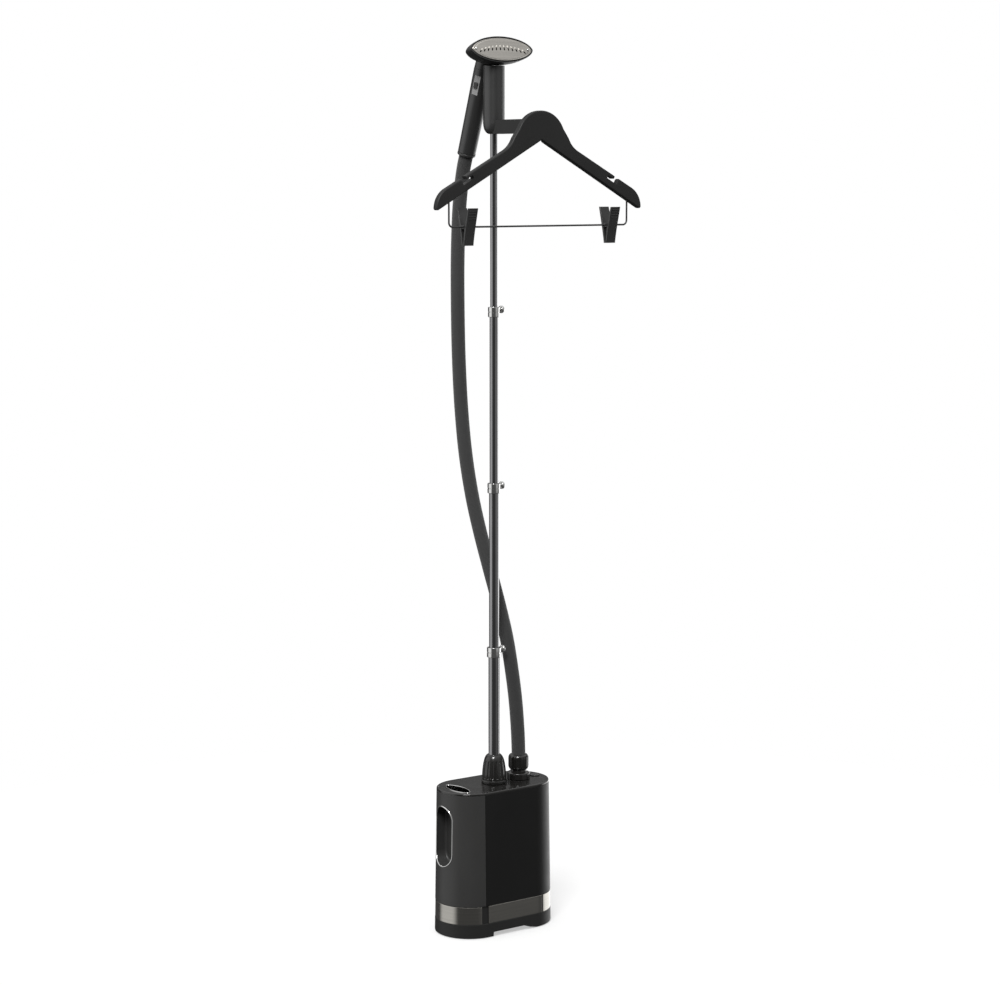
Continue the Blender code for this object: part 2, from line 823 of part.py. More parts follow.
def make_nut(nut):
    """The knurled union nut; Z runs up from the base's cover."""
    bore = HOSE_RADIUS + GAP
    profile = [
        (bore, NUT_HIGH),
        (0.0160, NUT_HIGH),
        (0.0186, NUT_HIGH - 0.0030),
        (0.0190, NUT_HIGH - 0.0060),
        (0.0190, NUT_LOW + 0.0060),
        (0.0176, NUT_LOW + 0.0015),
        (0.0160, NUT_LOW),
        (0.0085, NUT_LOW),
        (0.0085, HOSE_START_Z - GAP),
        (bore, HOSE_START_Z - GAP),
    ]
    ribs, depth = 16, 0.0008

    def ribbed(radius, angle, z):
        if radius > 0.0182:
            radius -= depth * (0.5 + 0.5 * math.cos(ribs * angle))
        return radius * math.cos(angle), radius * math.sin(angle)

    bm = spun_mesh("hose_nut", profile, 2 * ribs, ribbed)
    place("hose_nut", to_mesh("hose_nut", bm, 50.0), "black_gloss", nut)


# ---------------------------------------------------------------- holder and hanger arm
def handle_frame(name, parent, pole_place=Vector((0, 0, 0))):
    """An empty at the handle's foot whose Z runs up the handle."""
    return empty(name, HANDLE_FOOT - pole_place, parent, (HANDLE_LEAN, 0, 0))


def cradle_profile(grow):
    """An upright drum that is drawn in at its foot, grown by a margin."""
    return [
        (0.0, HOLDER_HIGH),
        (HOLDER_RADIUS + grow - 0.0010, HOLDER_HIGH),
        (HOLDER_RADIUS + grow, HOLDER_HIGH - 0.0010),
        (HOLDER_RADIUS + grow, HOLDER_LOW + 0.0190),
        (HOLDER_RADIUS + grow - 0.0010, HOLDER_LOW + 0.0120),
        (HOLDER_RADIUS + grow - 0.0034, HOLDER_LOW + 0.0055),
        (HOLDER_RADIUS + grow - 0.0072, HOLDER_LOW + 0.0014),
        (HOLDER_RADIUS + grow - 0.0100, HOLDER_LOW - grow),
        (0.0, HOLDER_LOW - grow),
    ]


def make_holder(top):
    """The cradle at the pole's top: the handle nests in a channel in its back."""
    profile = cradle_profile(0.0)
    holder = turned("handset_holder", profile, "satin_black", top, steps=28, closed=False)
    bore_radius = TUBE_RADII[3] + GAP
    bore_top = TUBE_TOP_Z + GAP
    bore_low = HOLDER_LOW - 0.01
    bore = rod(
        "holder_bore", bore_radius, bore_top - bore_low, (0, 0, (bore_top + bore_low) / 2), None, top,
        segments=28
    )
    boolean(holder, bore)
    frame = handle_frame("channel_axis", top)
    channel = [
        (0.0, HANDLE_LENGTH + 0.02),
        (HANDLE_R_HIGH + 0.0014, HANDLE_LENGTH + 0.02),
        (HANDLE_R_LOW + 0.0010, 0.0),
        (0.0, 0.0),
    ]
    boolean(holder, turned("channel_cut", channel, None, frame, steps=40, closed=False))


def make_arm(top):
    """A square bar from the holder to the hanger, ending in an upright dovetail."""
    back, front = -0.0100, HANGER_Y + HANGER_THICKNESS / 2 + GAP
    arm = block(
        "hanger_arm",
        (ARM_WIDTH, back - front, ARM_TOP - HOLDER_LOW),
        (0.0, (back + front) / 2, (ARM_TOP + HOLDER_LOW) / 2),
        "satin_black",
        top,
    )
    boolean(arm, turned("arm_round", cradle_profile(GAP), None, top, steps=40, closed=False))
    tongue = dovetail("arm_tongue", 0.0, ARM_TOP - 0.003, HOLDER_LOW + 0.002, top)
    boolean(arm, tongue, "UNION")


def dovetail(name, grow, high, low, parent):
    """An upright wedge whose wide side is buried in the hanger."""
    back = HANGER_Y + HANGER_THICKNESS / 2
    deep = back - 0.0062
    outline = [
        (-0.0035 - grow, back + 0.0020),
        (0.0035 + grow, back + 0.0020),
        (0.0035 + grow, back),
        (0.0060 + grow, deep - grow),
        (-0.0060 - grow, deep - grow),
        (-0.0035 - grow, back),
    ]
    return flat_outline(name, outline, (high - low) / 2, None, parent, (0, 0, (high + low) / 2), (0, 0, 0))


# ---------------------------------------------------------------- handset
def make_handle(handset):
    shell = [
        (HANDLE_BORE, HANDLE_LENGTH),
        (HANDLE_R_HIGH - 0.0008, HANDLE_LENGTH),
        (HANDLE_R_HIGH, HANDLE_LENGTH - 0.0020),
        (0.0164, 0.0900),
        (HANDLE_R_LOW, 0.0),
        (HANDLE_BORE, 0.0),
    ]
    handle = turned("handle_shell", shell, "satin_black", handset, steps=28)
    turn = side_turn()
    outward = Vector((math.cos(turn), math.sin(turn), 0.0))
    pocket = block("slider_pocket", (0.006, 0.0130, 0.0360), outward * 0.0183, None, handset, (0, 0, turn))
    pocket.location.z = SLIDER_HEIGHT
    boolean(handle, pocket)
    size = (0.0010, 0.0122, 0.0352)
    plate = block("slider_plate", size, outward * 0.0161, "black_gloss", handset, (0, 0, turn))
    plate.location.z = SLIDER_HEIGHT
    cuff = [
        (HANDLE_BORE, -GAP),
        (0.0153, -GAP),
        (0.0156, -0.0015),
        (0.0156, -0.0040),
        (0.0148, -0.0050),
        (HANDLE_BORE, -0.0050),
    ]
    turned("hose_cuff", cuff, "satin_black", handset, steps=24)
    duct = [(0.0060, 0.1540), (0.0060, 0.0640), (0.0045, 0.0640), (0.0045, 0.1540)]
    turned("steam_duct", duct, "silicone", handset, steps=16)


def side_turn():
    """The slider sits on the handle's left side, turned a little to the front."""
    return math.radians(180.0 + 26.0)


def make_slider(slider):
    turn = side_turn()
    outward = Vector((math.cos(turn), math.sin(turn), 0.0))
    size = (0.0024, 0.0078, 0.0110)
    button = block("steam_slider", size, outward * 0.0181, "satin_black", slider, (0, 0, turn))
    bevel(button, 0.0008)


def make_head(handset):
    """Bowl, steam plate and two rivets, on an empty whose Z points out of the plate."""
    foot_to_head = HEAD_CENTRE - HANDLE_FOOT
    unlean = Vector(
        (
            foot_to_head.x,
            foot_to_head.y * math.cos(HANDLE_LEAN) + foot_to_head.z * math.sin(HANDLE_LEAN),
            -foot_to_head.y * math.sin(HANDLE_LEAN) + foot_to_head.z * math.cos(HANDLE_LEAN),
        )
    )
    head = empty("head_axis", unlean, handset, (PLATE_TILT - HANDLE_LEAN, 0, 0))
    bowl = [
        (0.0, -0.0364),
        (0.30, -0.0364),
        (0.60, -0.0345),
        (0.82, -0.0300),
        (0.945, -0.0230),
        (0.99, -0.0140),
        (1.00, -0.0040),
        (1.00, 0.0),
        (0.955, 0.0),
        (0.955, -0.0030),
        (0.91, -0.0030),
        (0.90, -0.0160),
        (0.78, -0.0240),
        (0.40, -0.0285),
        (0.0, -0.0285),
    ]
    outline = almond(HEAD_HALF_LENGTH, HEAD_HALF_HEIGHT, HEAD_POINT)
    bm = spun_mesh("head_housing", bowl[1:-1], 36, outline, closed=False, flat_ends=True)
    housing = place("head_housing", to_mesh("head_housing", bm), "satin_black", head)
    neck = [
        (0.0, HANDLE_LENGTH + 0.0380),
        (0.0090, HANDLE_LENGTH + 0.0350),
        (0.0150, HANDLE_LENGTH + 0.0240),
        (HANDLE_R_HIGH - 0.0004, HANDLE_LENGTH + 0.0030),
        (HANDLE_R_HIGH - 0.0004, HANDLE_LENGTH + GAP),
        (0.0, HANDLE_LENGTH + GAP),
    ]
    boolean(housing, turned("neck_form", neck, None, handset, steps=24, closed=False), "UNION")
    plate = [(0.975, 0.0008), (1.0, 0.0), (1.0, -0.0026)]
    outline = almond(PLATE_HALF_LENGTH, PLATE_HALF_HEIGHT, HEAD_POINT)
    bm = spun_mesh("steam_plate", plate, 36, outline, closed=False, flat_ends=True)
    plate_obj = place("steam_plate", to_mesh("steam_plate", bm), "plate_steel", head)
    slots = slot_forms(head)
    for index, slot in enumerate(slots, 1):
        boolean(plate_obj, slot)
    for name, side in (("plate_rivet_left", -1), ("plate_rivet_right", 1)):
        x = side * 0.0560
        hole = rod(name + "_hole", 0.0013, 0.01, (x, 0, 0), None, head, segments=12)
        boolean(plate_obj, hole)
        profile = [
            (0.0, 0.0026),
            (0.0012, 0.0023),
            (0.0021, 0.0011),
            (0.0010, 0.0011),
            (0.0010, -0.0026),
            (0.0, -0.0026),
        ]
        turned(name, profile, "chrome", head, (x, 0, 0), steps=12, closed=False)


def slot_forms(head):
    """Upright slots in a row that bows upward in the middle."""
    forms = []
    for index in range(SLOT_COUNT):
        along = 2.0 * index / (SLOT_COUNT - 1) - 1.0
        x = 0.0475 * along
        y = 0.0030 - 0.0075 * along * along
        forms.append(
            block(
                f"steam_slot_{index + 1}", (0.0016, 0.0062, 0.012), (x, y, 0.0), None, head,
                (0, 0, -0.35 * along),
            )
        )
    return forms


# ---------------------------------------------------------------- hanger
def arc(centre, radius, start, end, count):
    """Points on a round stretch, from one angle in degrees to the other."""
    points = []
    for step in range(count + 1):
        turn = math.radians(start + (end - start) * step / count)
        points.append((centre[0] + radius * math.cos(turn), centre[1] + radius * math.sin(turn)))
    return points


def hanger_half():
    """The right half's outline from the neck's top round the shoulder's tip to the inner point."""
    dome = arc((0.0, 1.4425), 0.0520, 90.0, 24.0, 8)
    knee = arc((0.1000, 1.4640), 0.0440, 203.0, 180.0 + 61.4, 4)
    shoulder = arc((0.1822, 1.3260), 0.0392, 90.0 - 28.6, 6.0, 6)
    tip = arc((0.2178, 1.3276), 0.0036, -10.0, -118.0, 4)
    inner = (0.0, 1.4432)
    return dome + knee + shoulder + tip, inner


def make_hanger(hanger):
    right, inner = hanger_half()
    left = [(-x, z) for x, z in reversed(right[1:])]
    outline = right + [inner] + left
    body = flat_outline(
        "hanger_body", outline, HANGER_THICKNESS / 2, "satin_black", hanger, (0, HANGER_Y, 0),
        (math.pi / 2, 0, 0)
    )
    tongue_high = ARM_TOP - 0.003 + GAP
    boolean(body, dovetail("hanger_pocket", GAP, tongue_high, 1.4100, hanger))
    for side, word in ((-1, "left"), (1, "right")):
        slope = side * math.radians(29.0)
        notch = block(
            f"notch_{word}", (0.0250, 0.03, 0.0060), (side * 0.1560, HANGER_Y, 1.3746), None, hanger,
            (0, slope, 0)
        )
        mouth = block(
            f"mouth_{word}", (0.0110, 0.03, 0.0140), (side * 0.1650, HANGER_Y, 1.3765), None, hanger,
            (0, slope, 0)
        )
        boolean(body, notch)
        boolean(body, mouth)
        hole = rod(
            f"bar_hole_{word}", BAR_RADIUS + GAP, 0.030, (side * BAR_HALF_LENGTH, HANGER_Y, 1.3300), None,
            hanger,
            segments=12,
        )
        boolean(body, hole)


def make_bar(hanger):
    """The trouser bar: one wire with rounded corners, its ends let into the hanger."""
    top, corner = 1.3440, 0.0080
    x = BAR_HALF_LENGTH
    right = [(x, top), (x, 1.3150)] + arc((x - corner, BAR_Z + corner), corner, 0.0, -90.0, 5)
    left = [(-px, pz) for px, pz in reversed(right)]
    points = [(px, HANGER_Y, pz) for px, pz in right + left]
    tube_curve("trouser_bar", points, BAR_RADIUS, "black_chrome", hanger)


# ---------------------------------------------------------------- trouser clips
def jaw(name, side, ears, material, parent):
    """One half of a clip, in a frame whose X runs along the trouser bar; side +1 is the rear half."""
    outline = [
        (side * 0.0004, -0.0320),
        (side * 0.0040, -0.0320),
        (side * 0.0085, -0.0080),
        (side * 0.0185, 0.0320),
        (side * 0.0150, 0.0320),
        (side * 0.0048, -0.0020),
        (side * 0.0014, -0.0250),
    ]
    body = flat_outline(
        name, outline, CLIP_WIDTH / 2, material, parent, (0, 0, 0), (math.pi / 2, 0, math.pi / 2)
    )
    for index, x in enumerate(ears, 1):
        ear_form = block(
            f"{name}_ear_{index}", (0.0024, 0.0100, 0.0070), (x, side * 0.0026, 0.0), None, parent
        )
        boolean(body, ear_form, "UNION")
    bore = rod(name + "_bore", BAR_RADIUS + GAP, 0.06, (0, 0, 0), None, parent, (0, math.pi / 2, 0), 16)
    boolean(body, bore)
    return body


def make_clip(word, clip_frame, jaw_frame):
    jaw(f"clip_back_{word}", 1, (-0.0078, 0.0078), "satin_black", clip_frame)
    jaw(f"clip_front_{word}", -1, (-0.0050, 0.0050), "satin_black", jaw_frame)
    turns, sides, pitch, radius = 3, 6, 0.0016, 0.0030
    points = []
    for step in range(turns * sides + 1):
        turn = 2 * math.pi * step / sides
        x = pitch * (step / sides - turns / 2)
        points.append((x, radius * math.cos(turn), radius * math.sin(turn)))
    tube_curve(f"clip_spring_{word}", points, 0.0005, "spring_steel", clip_frame)


# ---------------------------------------------------------------- assembly
def main():
    root = empty("steamer_root", (0, POLE_Y, 0))
    make_tray(root)
    make_band(root)
    make_body(root)
    make_tank(empty("tank_slide", (0, 0, 0), root))
    make_works(root)
    make_button(empty("button_axis", (0.0930, 0.0, BASE_HEIGHT), root))
    make_socket(root)
    pole = root
    for index in range(len(TUBE_RADII)):
        if index:
            pole = empty(f"pole_axis_{index + 1}", (0, 0, 0), pole)
        make_tube(index, pole)
        if index < len(CLAMP_HEIGHTS):
            make_clamp(index, pole)
            turn = (0, math.pi / 2, 0)
            make_thumb_screw(index, empty(f"thumb_axis_{index + 1}", clamp_axis(index), pole, turn))
    make_hose(root)
    make_nut(empty("nut_axis", (HOSE_X, 0.0, 0.0), root))
    make_holder(pole)
    make_arm(pole)
    handset = handle_frame("handset_axis", pole)
    make_handle(handset)
    make_slider(empty("slider_axis", (0, 0, SLIDER_HEIGHT), handset))
    make_head(handset)
    hanger = empty("hanger_axis", (0, 0, 0), pole)
    make_hanger(hanger)
    make_bar(hanger)
    for word, side in (("left", -1), ("right", 1)):
        at = (side * CLIP_X, HANGER_Y, BAR_Z)
        clip_frame = empty(f"clip_axis_{word}", at, hanger)
        make_clip(word, clip_frame, empty(f"jaw_axis_{word}", (0, 0, 0), clip_frame))


main()
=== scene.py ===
import json
import math
from contextlib import contextmanager

import bmesh
import bpy
from bpy.props import FloatProperty, FloatVectorProperty, IntProperty, PointerProperty
from mathutils import Matrix, Vector
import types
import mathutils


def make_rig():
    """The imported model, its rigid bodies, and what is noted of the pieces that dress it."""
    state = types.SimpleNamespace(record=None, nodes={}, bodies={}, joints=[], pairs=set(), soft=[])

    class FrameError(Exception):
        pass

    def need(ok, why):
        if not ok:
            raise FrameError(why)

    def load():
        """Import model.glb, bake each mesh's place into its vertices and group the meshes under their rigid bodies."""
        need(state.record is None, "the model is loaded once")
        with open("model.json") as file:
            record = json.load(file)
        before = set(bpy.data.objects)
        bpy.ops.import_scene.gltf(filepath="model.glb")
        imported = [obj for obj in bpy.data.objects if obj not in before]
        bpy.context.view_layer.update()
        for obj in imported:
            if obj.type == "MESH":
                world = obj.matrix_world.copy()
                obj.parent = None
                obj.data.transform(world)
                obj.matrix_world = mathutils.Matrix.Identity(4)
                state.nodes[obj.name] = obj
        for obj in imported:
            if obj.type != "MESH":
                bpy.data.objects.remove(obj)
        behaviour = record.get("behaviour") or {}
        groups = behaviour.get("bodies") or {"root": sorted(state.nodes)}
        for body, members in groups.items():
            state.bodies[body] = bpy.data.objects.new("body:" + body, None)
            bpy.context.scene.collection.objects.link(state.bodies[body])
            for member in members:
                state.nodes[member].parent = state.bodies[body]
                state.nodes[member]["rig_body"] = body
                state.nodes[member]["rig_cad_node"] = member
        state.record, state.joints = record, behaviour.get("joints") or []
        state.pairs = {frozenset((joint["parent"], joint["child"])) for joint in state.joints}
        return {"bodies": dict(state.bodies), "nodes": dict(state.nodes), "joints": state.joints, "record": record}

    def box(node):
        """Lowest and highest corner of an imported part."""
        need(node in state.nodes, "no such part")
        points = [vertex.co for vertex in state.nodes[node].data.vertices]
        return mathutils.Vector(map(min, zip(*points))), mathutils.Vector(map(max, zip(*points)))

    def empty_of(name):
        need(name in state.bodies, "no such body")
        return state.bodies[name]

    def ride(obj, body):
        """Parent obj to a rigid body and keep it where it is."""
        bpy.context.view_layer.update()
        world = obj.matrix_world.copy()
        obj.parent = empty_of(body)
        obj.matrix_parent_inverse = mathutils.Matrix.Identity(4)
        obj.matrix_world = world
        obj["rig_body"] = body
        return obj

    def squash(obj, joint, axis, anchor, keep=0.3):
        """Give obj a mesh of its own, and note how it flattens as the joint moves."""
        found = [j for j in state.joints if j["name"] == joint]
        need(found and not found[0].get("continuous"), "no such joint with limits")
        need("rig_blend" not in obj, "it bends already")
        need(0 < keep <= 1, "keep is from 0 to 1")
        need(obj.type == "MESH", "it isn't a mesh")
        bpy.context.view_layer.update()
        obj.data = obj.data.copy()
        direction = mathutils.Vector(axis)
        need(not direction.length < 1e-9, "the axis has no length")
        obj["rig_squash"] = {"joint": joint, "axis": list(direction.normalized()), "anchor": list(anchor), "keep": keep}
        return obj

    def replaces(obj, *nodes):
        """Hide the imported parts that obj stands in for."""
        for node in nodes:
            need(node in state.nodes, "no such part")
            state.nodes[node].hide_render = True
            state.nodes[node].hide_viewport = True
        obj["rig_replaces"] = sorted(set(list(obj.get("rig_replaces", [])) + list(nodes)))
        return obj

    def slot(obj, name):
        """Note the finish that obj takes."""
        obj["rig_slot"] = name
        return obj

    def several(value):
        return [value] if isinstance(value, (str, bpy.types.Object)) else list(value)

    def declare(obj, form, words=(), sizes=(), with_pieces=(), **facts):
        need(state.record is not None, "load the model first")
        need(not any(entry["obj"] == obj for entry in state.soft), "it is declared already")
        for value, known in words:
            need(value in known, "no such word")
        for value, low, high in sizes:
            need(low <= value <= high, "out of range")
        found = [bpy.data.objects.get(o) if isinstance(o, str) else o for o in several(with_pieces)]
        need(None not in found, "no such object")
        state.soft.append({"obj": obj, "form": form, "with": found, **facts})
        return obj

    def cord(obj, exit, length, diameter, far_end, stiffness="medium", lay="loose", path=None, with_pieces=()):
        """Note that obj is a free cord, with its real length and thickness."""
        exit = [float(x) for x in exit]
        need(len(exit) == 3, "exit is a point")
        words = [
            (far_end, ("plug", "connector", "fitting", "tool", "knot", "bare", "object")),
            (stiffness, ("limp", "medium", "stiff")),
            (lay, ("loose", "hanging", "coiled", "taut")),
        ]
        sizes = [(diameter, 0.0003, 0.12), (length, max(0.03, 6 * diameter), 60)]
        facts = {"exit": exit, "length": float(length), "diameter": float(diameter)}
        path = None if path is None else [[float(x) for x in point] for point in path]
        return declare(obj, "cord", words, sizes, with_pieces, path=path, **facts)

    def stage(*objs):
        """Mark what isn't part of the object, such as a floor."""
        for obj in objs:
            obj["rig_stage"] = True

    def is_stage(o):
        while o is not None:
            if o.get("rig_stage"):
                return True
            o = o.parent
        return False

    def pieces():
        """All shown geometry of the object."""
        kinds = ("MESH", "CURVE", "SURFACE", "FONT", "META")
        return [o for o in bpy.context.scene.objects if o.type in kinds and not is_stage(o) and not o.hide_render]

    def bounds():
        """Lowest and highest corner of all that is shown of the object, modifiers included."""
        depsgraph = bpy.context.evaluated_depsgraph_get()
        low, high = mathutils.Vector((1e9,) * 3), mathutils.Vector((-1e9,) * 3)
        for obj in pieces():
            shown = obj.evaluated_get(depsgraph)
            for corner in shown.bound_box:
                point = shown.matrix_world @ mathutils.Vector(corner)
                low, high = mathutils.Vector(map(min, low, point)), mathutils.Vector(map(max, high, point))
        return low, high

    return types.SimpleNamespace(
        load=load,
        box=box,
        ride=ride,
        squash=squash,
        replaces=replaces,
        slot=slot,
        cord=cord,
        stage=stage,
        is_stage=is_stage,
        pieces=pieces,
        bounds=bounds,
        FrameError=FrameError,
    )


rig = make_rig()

bl_info = {
    "name": "Garment Steamer",
    "version": (1, 0, 0),
    "blender": (4, 5, 0),
    "location": "View3D > Sidebar > Steamer",
    "description": "Builds the outside of a standing garment steamer around its mechanical frame",
    "category": "Add Mesh",
}

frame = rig.load()
CAD_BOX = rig.bounds()

# ---------------------------------------------------------------- places read from the frame
GAP = 0.0003
POLE_Y = sum(corner.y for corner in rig.box("pole_tube_1")) / 2
TRAY_LOW, TRAY_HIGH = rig.box("base_tray")
BASE_CENTRE = Vector(((TRAY_LOW.x + TRAY_HIGH.x) / 2, POLE_Y, 0.0))
BASE_R_FLOOR = (TRAY_HIGH.y - TRAY_LOW.y) / 2
BASE_STRAIGHT = (TRAY_HIGH.x - TRAY_LOW.x) / 2 - BASE_R_FLOOR
COVER_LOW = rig.box("top_cover")[0].z
BASE_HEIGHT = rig.box("top_cover")[1].z
COVER_RADIUS = (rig.box("top_cover")[1].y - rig.box("top_cover")[0].y) / 2
SEAM_X = (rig.box("water_tank")[1].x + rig.box("base_shell")[0].x) / 2
SHELL_LOW, SHELL_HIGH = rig.box("base_shell")[0].z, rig.box("base_shell")[1].z
BAND_LOW, BAND_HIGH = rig.box("band_front")[0].z - GAP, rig.box("band_front")[1].z + GAP
BASE_WALL = 0.0025
BAND_DEPTH = 0.0022
TRAY_FLOOR = 0.0135
HOSE_PLACE = Vector((sum(corner.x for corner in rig.box("hose_nut")) / 2, POLE_Y, 0.0))
POLE_PLACE = Vector((0.0, POLE_Y, 0.0))
NUT_LOW, NUT_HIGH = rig.box("hose_nut")[0].z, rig.box("hose_nut")[1].z
SLOT_LOW, SLOT_HIGH = 0.1285, 0.2425
SLOT_HALF_WIDTH = 0.0265
SLOT_DEPTH = 0.030
FILL_HALF_WIDTH = (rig.box("fill_rim")[1].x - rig.box("fill_rim")[0].x) / 2
FILL_HALF_LENGTH = (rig.box("fill_rim")[1].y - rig.box("fill_rim")[0].y) / 2
FILL_PLACE = (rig.box("fill_rim")[0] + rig.box("fill_rim")[1]) / 2

HANDLE_FOOT = Vector((0.0, POLE_Y + 0.0853, 1.4235))
HANDLE_LEAN = math.radians(20.1)
HANDLE_LENGTH = 0.1580
HANDLE_R_LOW, HANDLE_R_HIGH = 0.0146, 0.0176
HANDLE_BORE = 0.0134
SLIDER_HEIGHT = 0.1290
SLIDER_TURN = math.radians(180.0 + 26.0)
HANDLE = Matrix.Translation(HANDLE_FOOT) @ Matrix.Rotation(HANDLE_LEAN, 4, "X")
SLIDER = HANDLE @ Matrix.Rotation(SLIDER_TURN, 4, "Z")
HEAD_PLACE = Vector((0.0, POLE_Y - 0.0255, 1.6040))
HEAD = Matrix.Translation(HEAD_PLACE) @ Matrix.Rotation(math.radians(75.0), 4, "X")
HEAD_HALF_LENGTH, HEAD_HALF_HEIGHT = 0.0672, 0.0236
PLATE_HALF_LENGTH, PLATE_HALF_HEIGHT = 0.0636, 0.0208
HEAD_POINT = 1.18
SLOT_COUNT = 12

TUBE_RADII = [(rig.box(f"pole_tube_{n}")[1].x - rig.box(f"pole_tube_{n}")[0].x) / 2 for n in range(1, 5)]
TUBE_WALL = 0.00078
CLAMP_WALL = 0.0028
CLAMP_COUNT = 3
HOLDER_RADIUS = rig.box("handset_holder")[1].x
HOLDER_LOW, HOLDER_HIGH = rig.box("handset_holder")[0].z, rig.box("handset_holder")[1].z
HANGER_Y = sum(corner.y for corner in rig.box("hanger_body")) / 2
HANGER_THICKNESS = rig.box("hanger_body")[1].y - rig.box("hanger_body")[0].y
BAR_RADIUS = 0.0016
BAR_HALF_LENGTH = 0.1925
BAR_Z = 1.2950
CLIP_X = 0.1540
CLIP_WIDTH = 0.0200

BODIES = frame["record"]["behaviour"]["bodies"]
BODY_OF = {node: body for body, nodes in BODIES.items() for node in nodes}
SLOT_OF = {row["node"]: row["material_slot"] for row in frame["record"]["subparts"]}
JOINTS = {joint["name"]: joint for joint in frame["joints"]}


# ---------------------------------------------------------------- what a user would change
def colour(name, description, value):
    return FloatVectorProperty(
        name=name, description=description, subtype="COLOR", size=3, min=0.0, max=1.0, default=value
    )


def length(name, description, value):
    return FloatProperty(
        name=name, description=description, unit="LENGTH", min=0.0, precision=5, default=value
    )


class SteamerColours(bpy.types.PropertyGroup):
    """Colours of the finishes."""

    casing: colour("Casing", "Satin plastic of the casing", (0.0128, 0.0128, 0.0126))
    tank: colour("Tank", "Slightly paler plastic of the water tank", (0.0480, 0.0478, 0.0470))
    # The slight warm tint of this black is a painted reflection of the room; the black is the plastic's own colour.
    gloss: colour("Gloss", "Polished black plastic of the top and the fittings", (0.0125, 0.0120, 0.0112))
    satin: colour("Satin", "Fine-grained plastic of the handset and its holder", (0.0260, 0.0260, 0.0258))
    hanger: colour("Hanger", "Satin plastic of the clothes hanger", (0.0210, 0.0210, 0.0208))
    smoked: colour("Smoked metal", "Polished strip round the foot", (0.48, 0.465, 0.43))
    chrome: colour("Chrome", "Bright plated metal", (0.78, 0.78, 0.77))
    tube: colour("Black chrome", "Plated tubes of the pole", (0.32, 0.32, 0.325))
    plate: colour("Steam plate", "Brushed metal of the plate", (0.655, 0.63, 0.585))
    hose: colour("Hose sleeve", "Woven sleeve of the hose", (0.0720, 0.0720, 0.0720))
    rubber: colour("Rubber", "Pads, seals and gland", (0.016, 0.016, 0.016))


class SteamerSizes(bpy.types.PropertyGroup):
    """Sizes of the small shapes that the frame leaves open."""

    seam_round: length("Seam rounding", "Radius of the casing's edges along its seams", 0.0005)
    hose_spacing: length("Hose ring spacing", "Distance between the rings of the hose's mesh", 0.0040)
    hose_sides: IntProperty(name="Hose sides", description="Points round the hose", min=12, default=36)
    flutes: IntProperty(name="Collar flutes", description="Hollows round the pole collar", min=6, default=16)
    flute_depth: length("Flute depth", "Depth of the hollows in the pole collar", 0.0011)
    ribs: IntProperty(name="Nut ribs", description="Ribs round the hose nut", min=6, default=18)
    rib_depth: length("Rib depth", "Depth between the ribs of the hose nut", 0.0009)
    knurls: IntProperty(name="Knurls", description="Grooves round a thumb screw", min=6, default=14)


class SteamerStudio(bpy.types.PropertyGroup):
    """Floor, lights and camera."""

    floor_size: length("Floor size", "Diameter of the white floor", 3.0)
    lens: FloatProperty(name="Lens", description="Focal length in millimetres", min=10.0, default=88.98)
    key_power: FloatProperty(name="Key power", description="Power of the key light", min=0.0, default=170.0)
    level: FloatProperty(name="Room level", description="Brightness all round", min=0.0, default=0.080)
    left: FloatProperty(name="Left panel", description="Brightness of the left panel", min=0.0, default=0.80)
    right: FloatProperty(name="Right panel", description="Brightness of the right panel", min=0.0, default=1.8)
    front: FloatProperty(name="Front panel", description="Brightness of the front panel", min=0.0, default=0.30)
    above: FloatProperty(name="Ceiling", description="Brightness of the ceiling", min=0.0, default=0.85)
    behind: FloatProperty(name="Back wall", description="Brightness low behind it", min=0.0, default=0.02)


# ---------------------------------------------------------------- modelling helpers
def start(shape, name, **settings):
    """Adds a primitive, the start of a new piece, with its place in its mesh."""
    bpy.ops.object.select_all(action="DESELECT")
    getattr(bpy.ops.mesh, f"primitive_{shape}_add")(**settings)
    piece = bpy.context.object
    piece.name = piece.data.name = name
    bpy.ops.object.transform_apply(location=True, rotation=True, scale=True)
    return piece


def activate(piece):
    bpy.ops.object.select_all(action="DESELECT")
    piece.select_set(True)
    bpy.context.view_layer.objects.active = piece


@contextmanager
def editing(piece, kind="FACE"):
    """Edit mode on one piece, with nothing selected."""
    activate(piece)
    bpy.ops.object.mode_set(mode="EDIT")
    bpy.ops.mesh.select_mode(type=kind)
    bpy.ops.mesh.select_all(action="DESELECT")
    yield
    bpy.ops.object.mode_set(mode="OBJECT")


def pick(piece, kind, test):
    """Selects, in edit mode, just the verts, edges or faces that pass the test."""
    bpy.ops.mesh.select_all(action="DESELECT")
    mesh = bmesh.from_edit_mesh(piece.data)
    for item in getattr(mesh, kind):
        if test(item):
            item.select_set(True)
    mesh.select_flush_mode()
    bmesh.update_edit_mesh(piece.data)


def modify(piece, kind, **settings):
    """Adds a modifier, sets it and applies it."""
    modifier = piece.modifiers.new(kind.lower(), kind)
    for key, value in settings.items():
        setattr(modifier, key, value)
    activate(piece)
    bpy.ops.object.modifier_apply(modifier=modifier.name)


def soften(piece, width, segments=3, angle=30.0):
    """Rounds the edges that turn by more than an angle in degrees."""
    modify(
        piece,
        "BEVEL",
        width=width,
        segments=segments,
        limit_method="ANGLE",
        angle_limit=math.radians(angle),
        miter_outer="MITER_ARC",
    )


def carve(piece, cutter, operation="DIFFERENCE"):
    """Cuts a piece with another, or joins them, and removes the other."""
    modify(piece, "BOOLEAN", operation=operation, object=cutter, solver="EXACT")
    bpy.data.objects.remove(cutter, do_unlink=True)


def settle(piece, matrix):
    """Moves a piece by a matrix and leaves the place in its mesh."""
    piece.matrix_world = matrix @ piece.matrix_world
    activate(piece)
    bpy.ops.object.transform_apply(location=True, rotation=True, scale=True)
    return piece


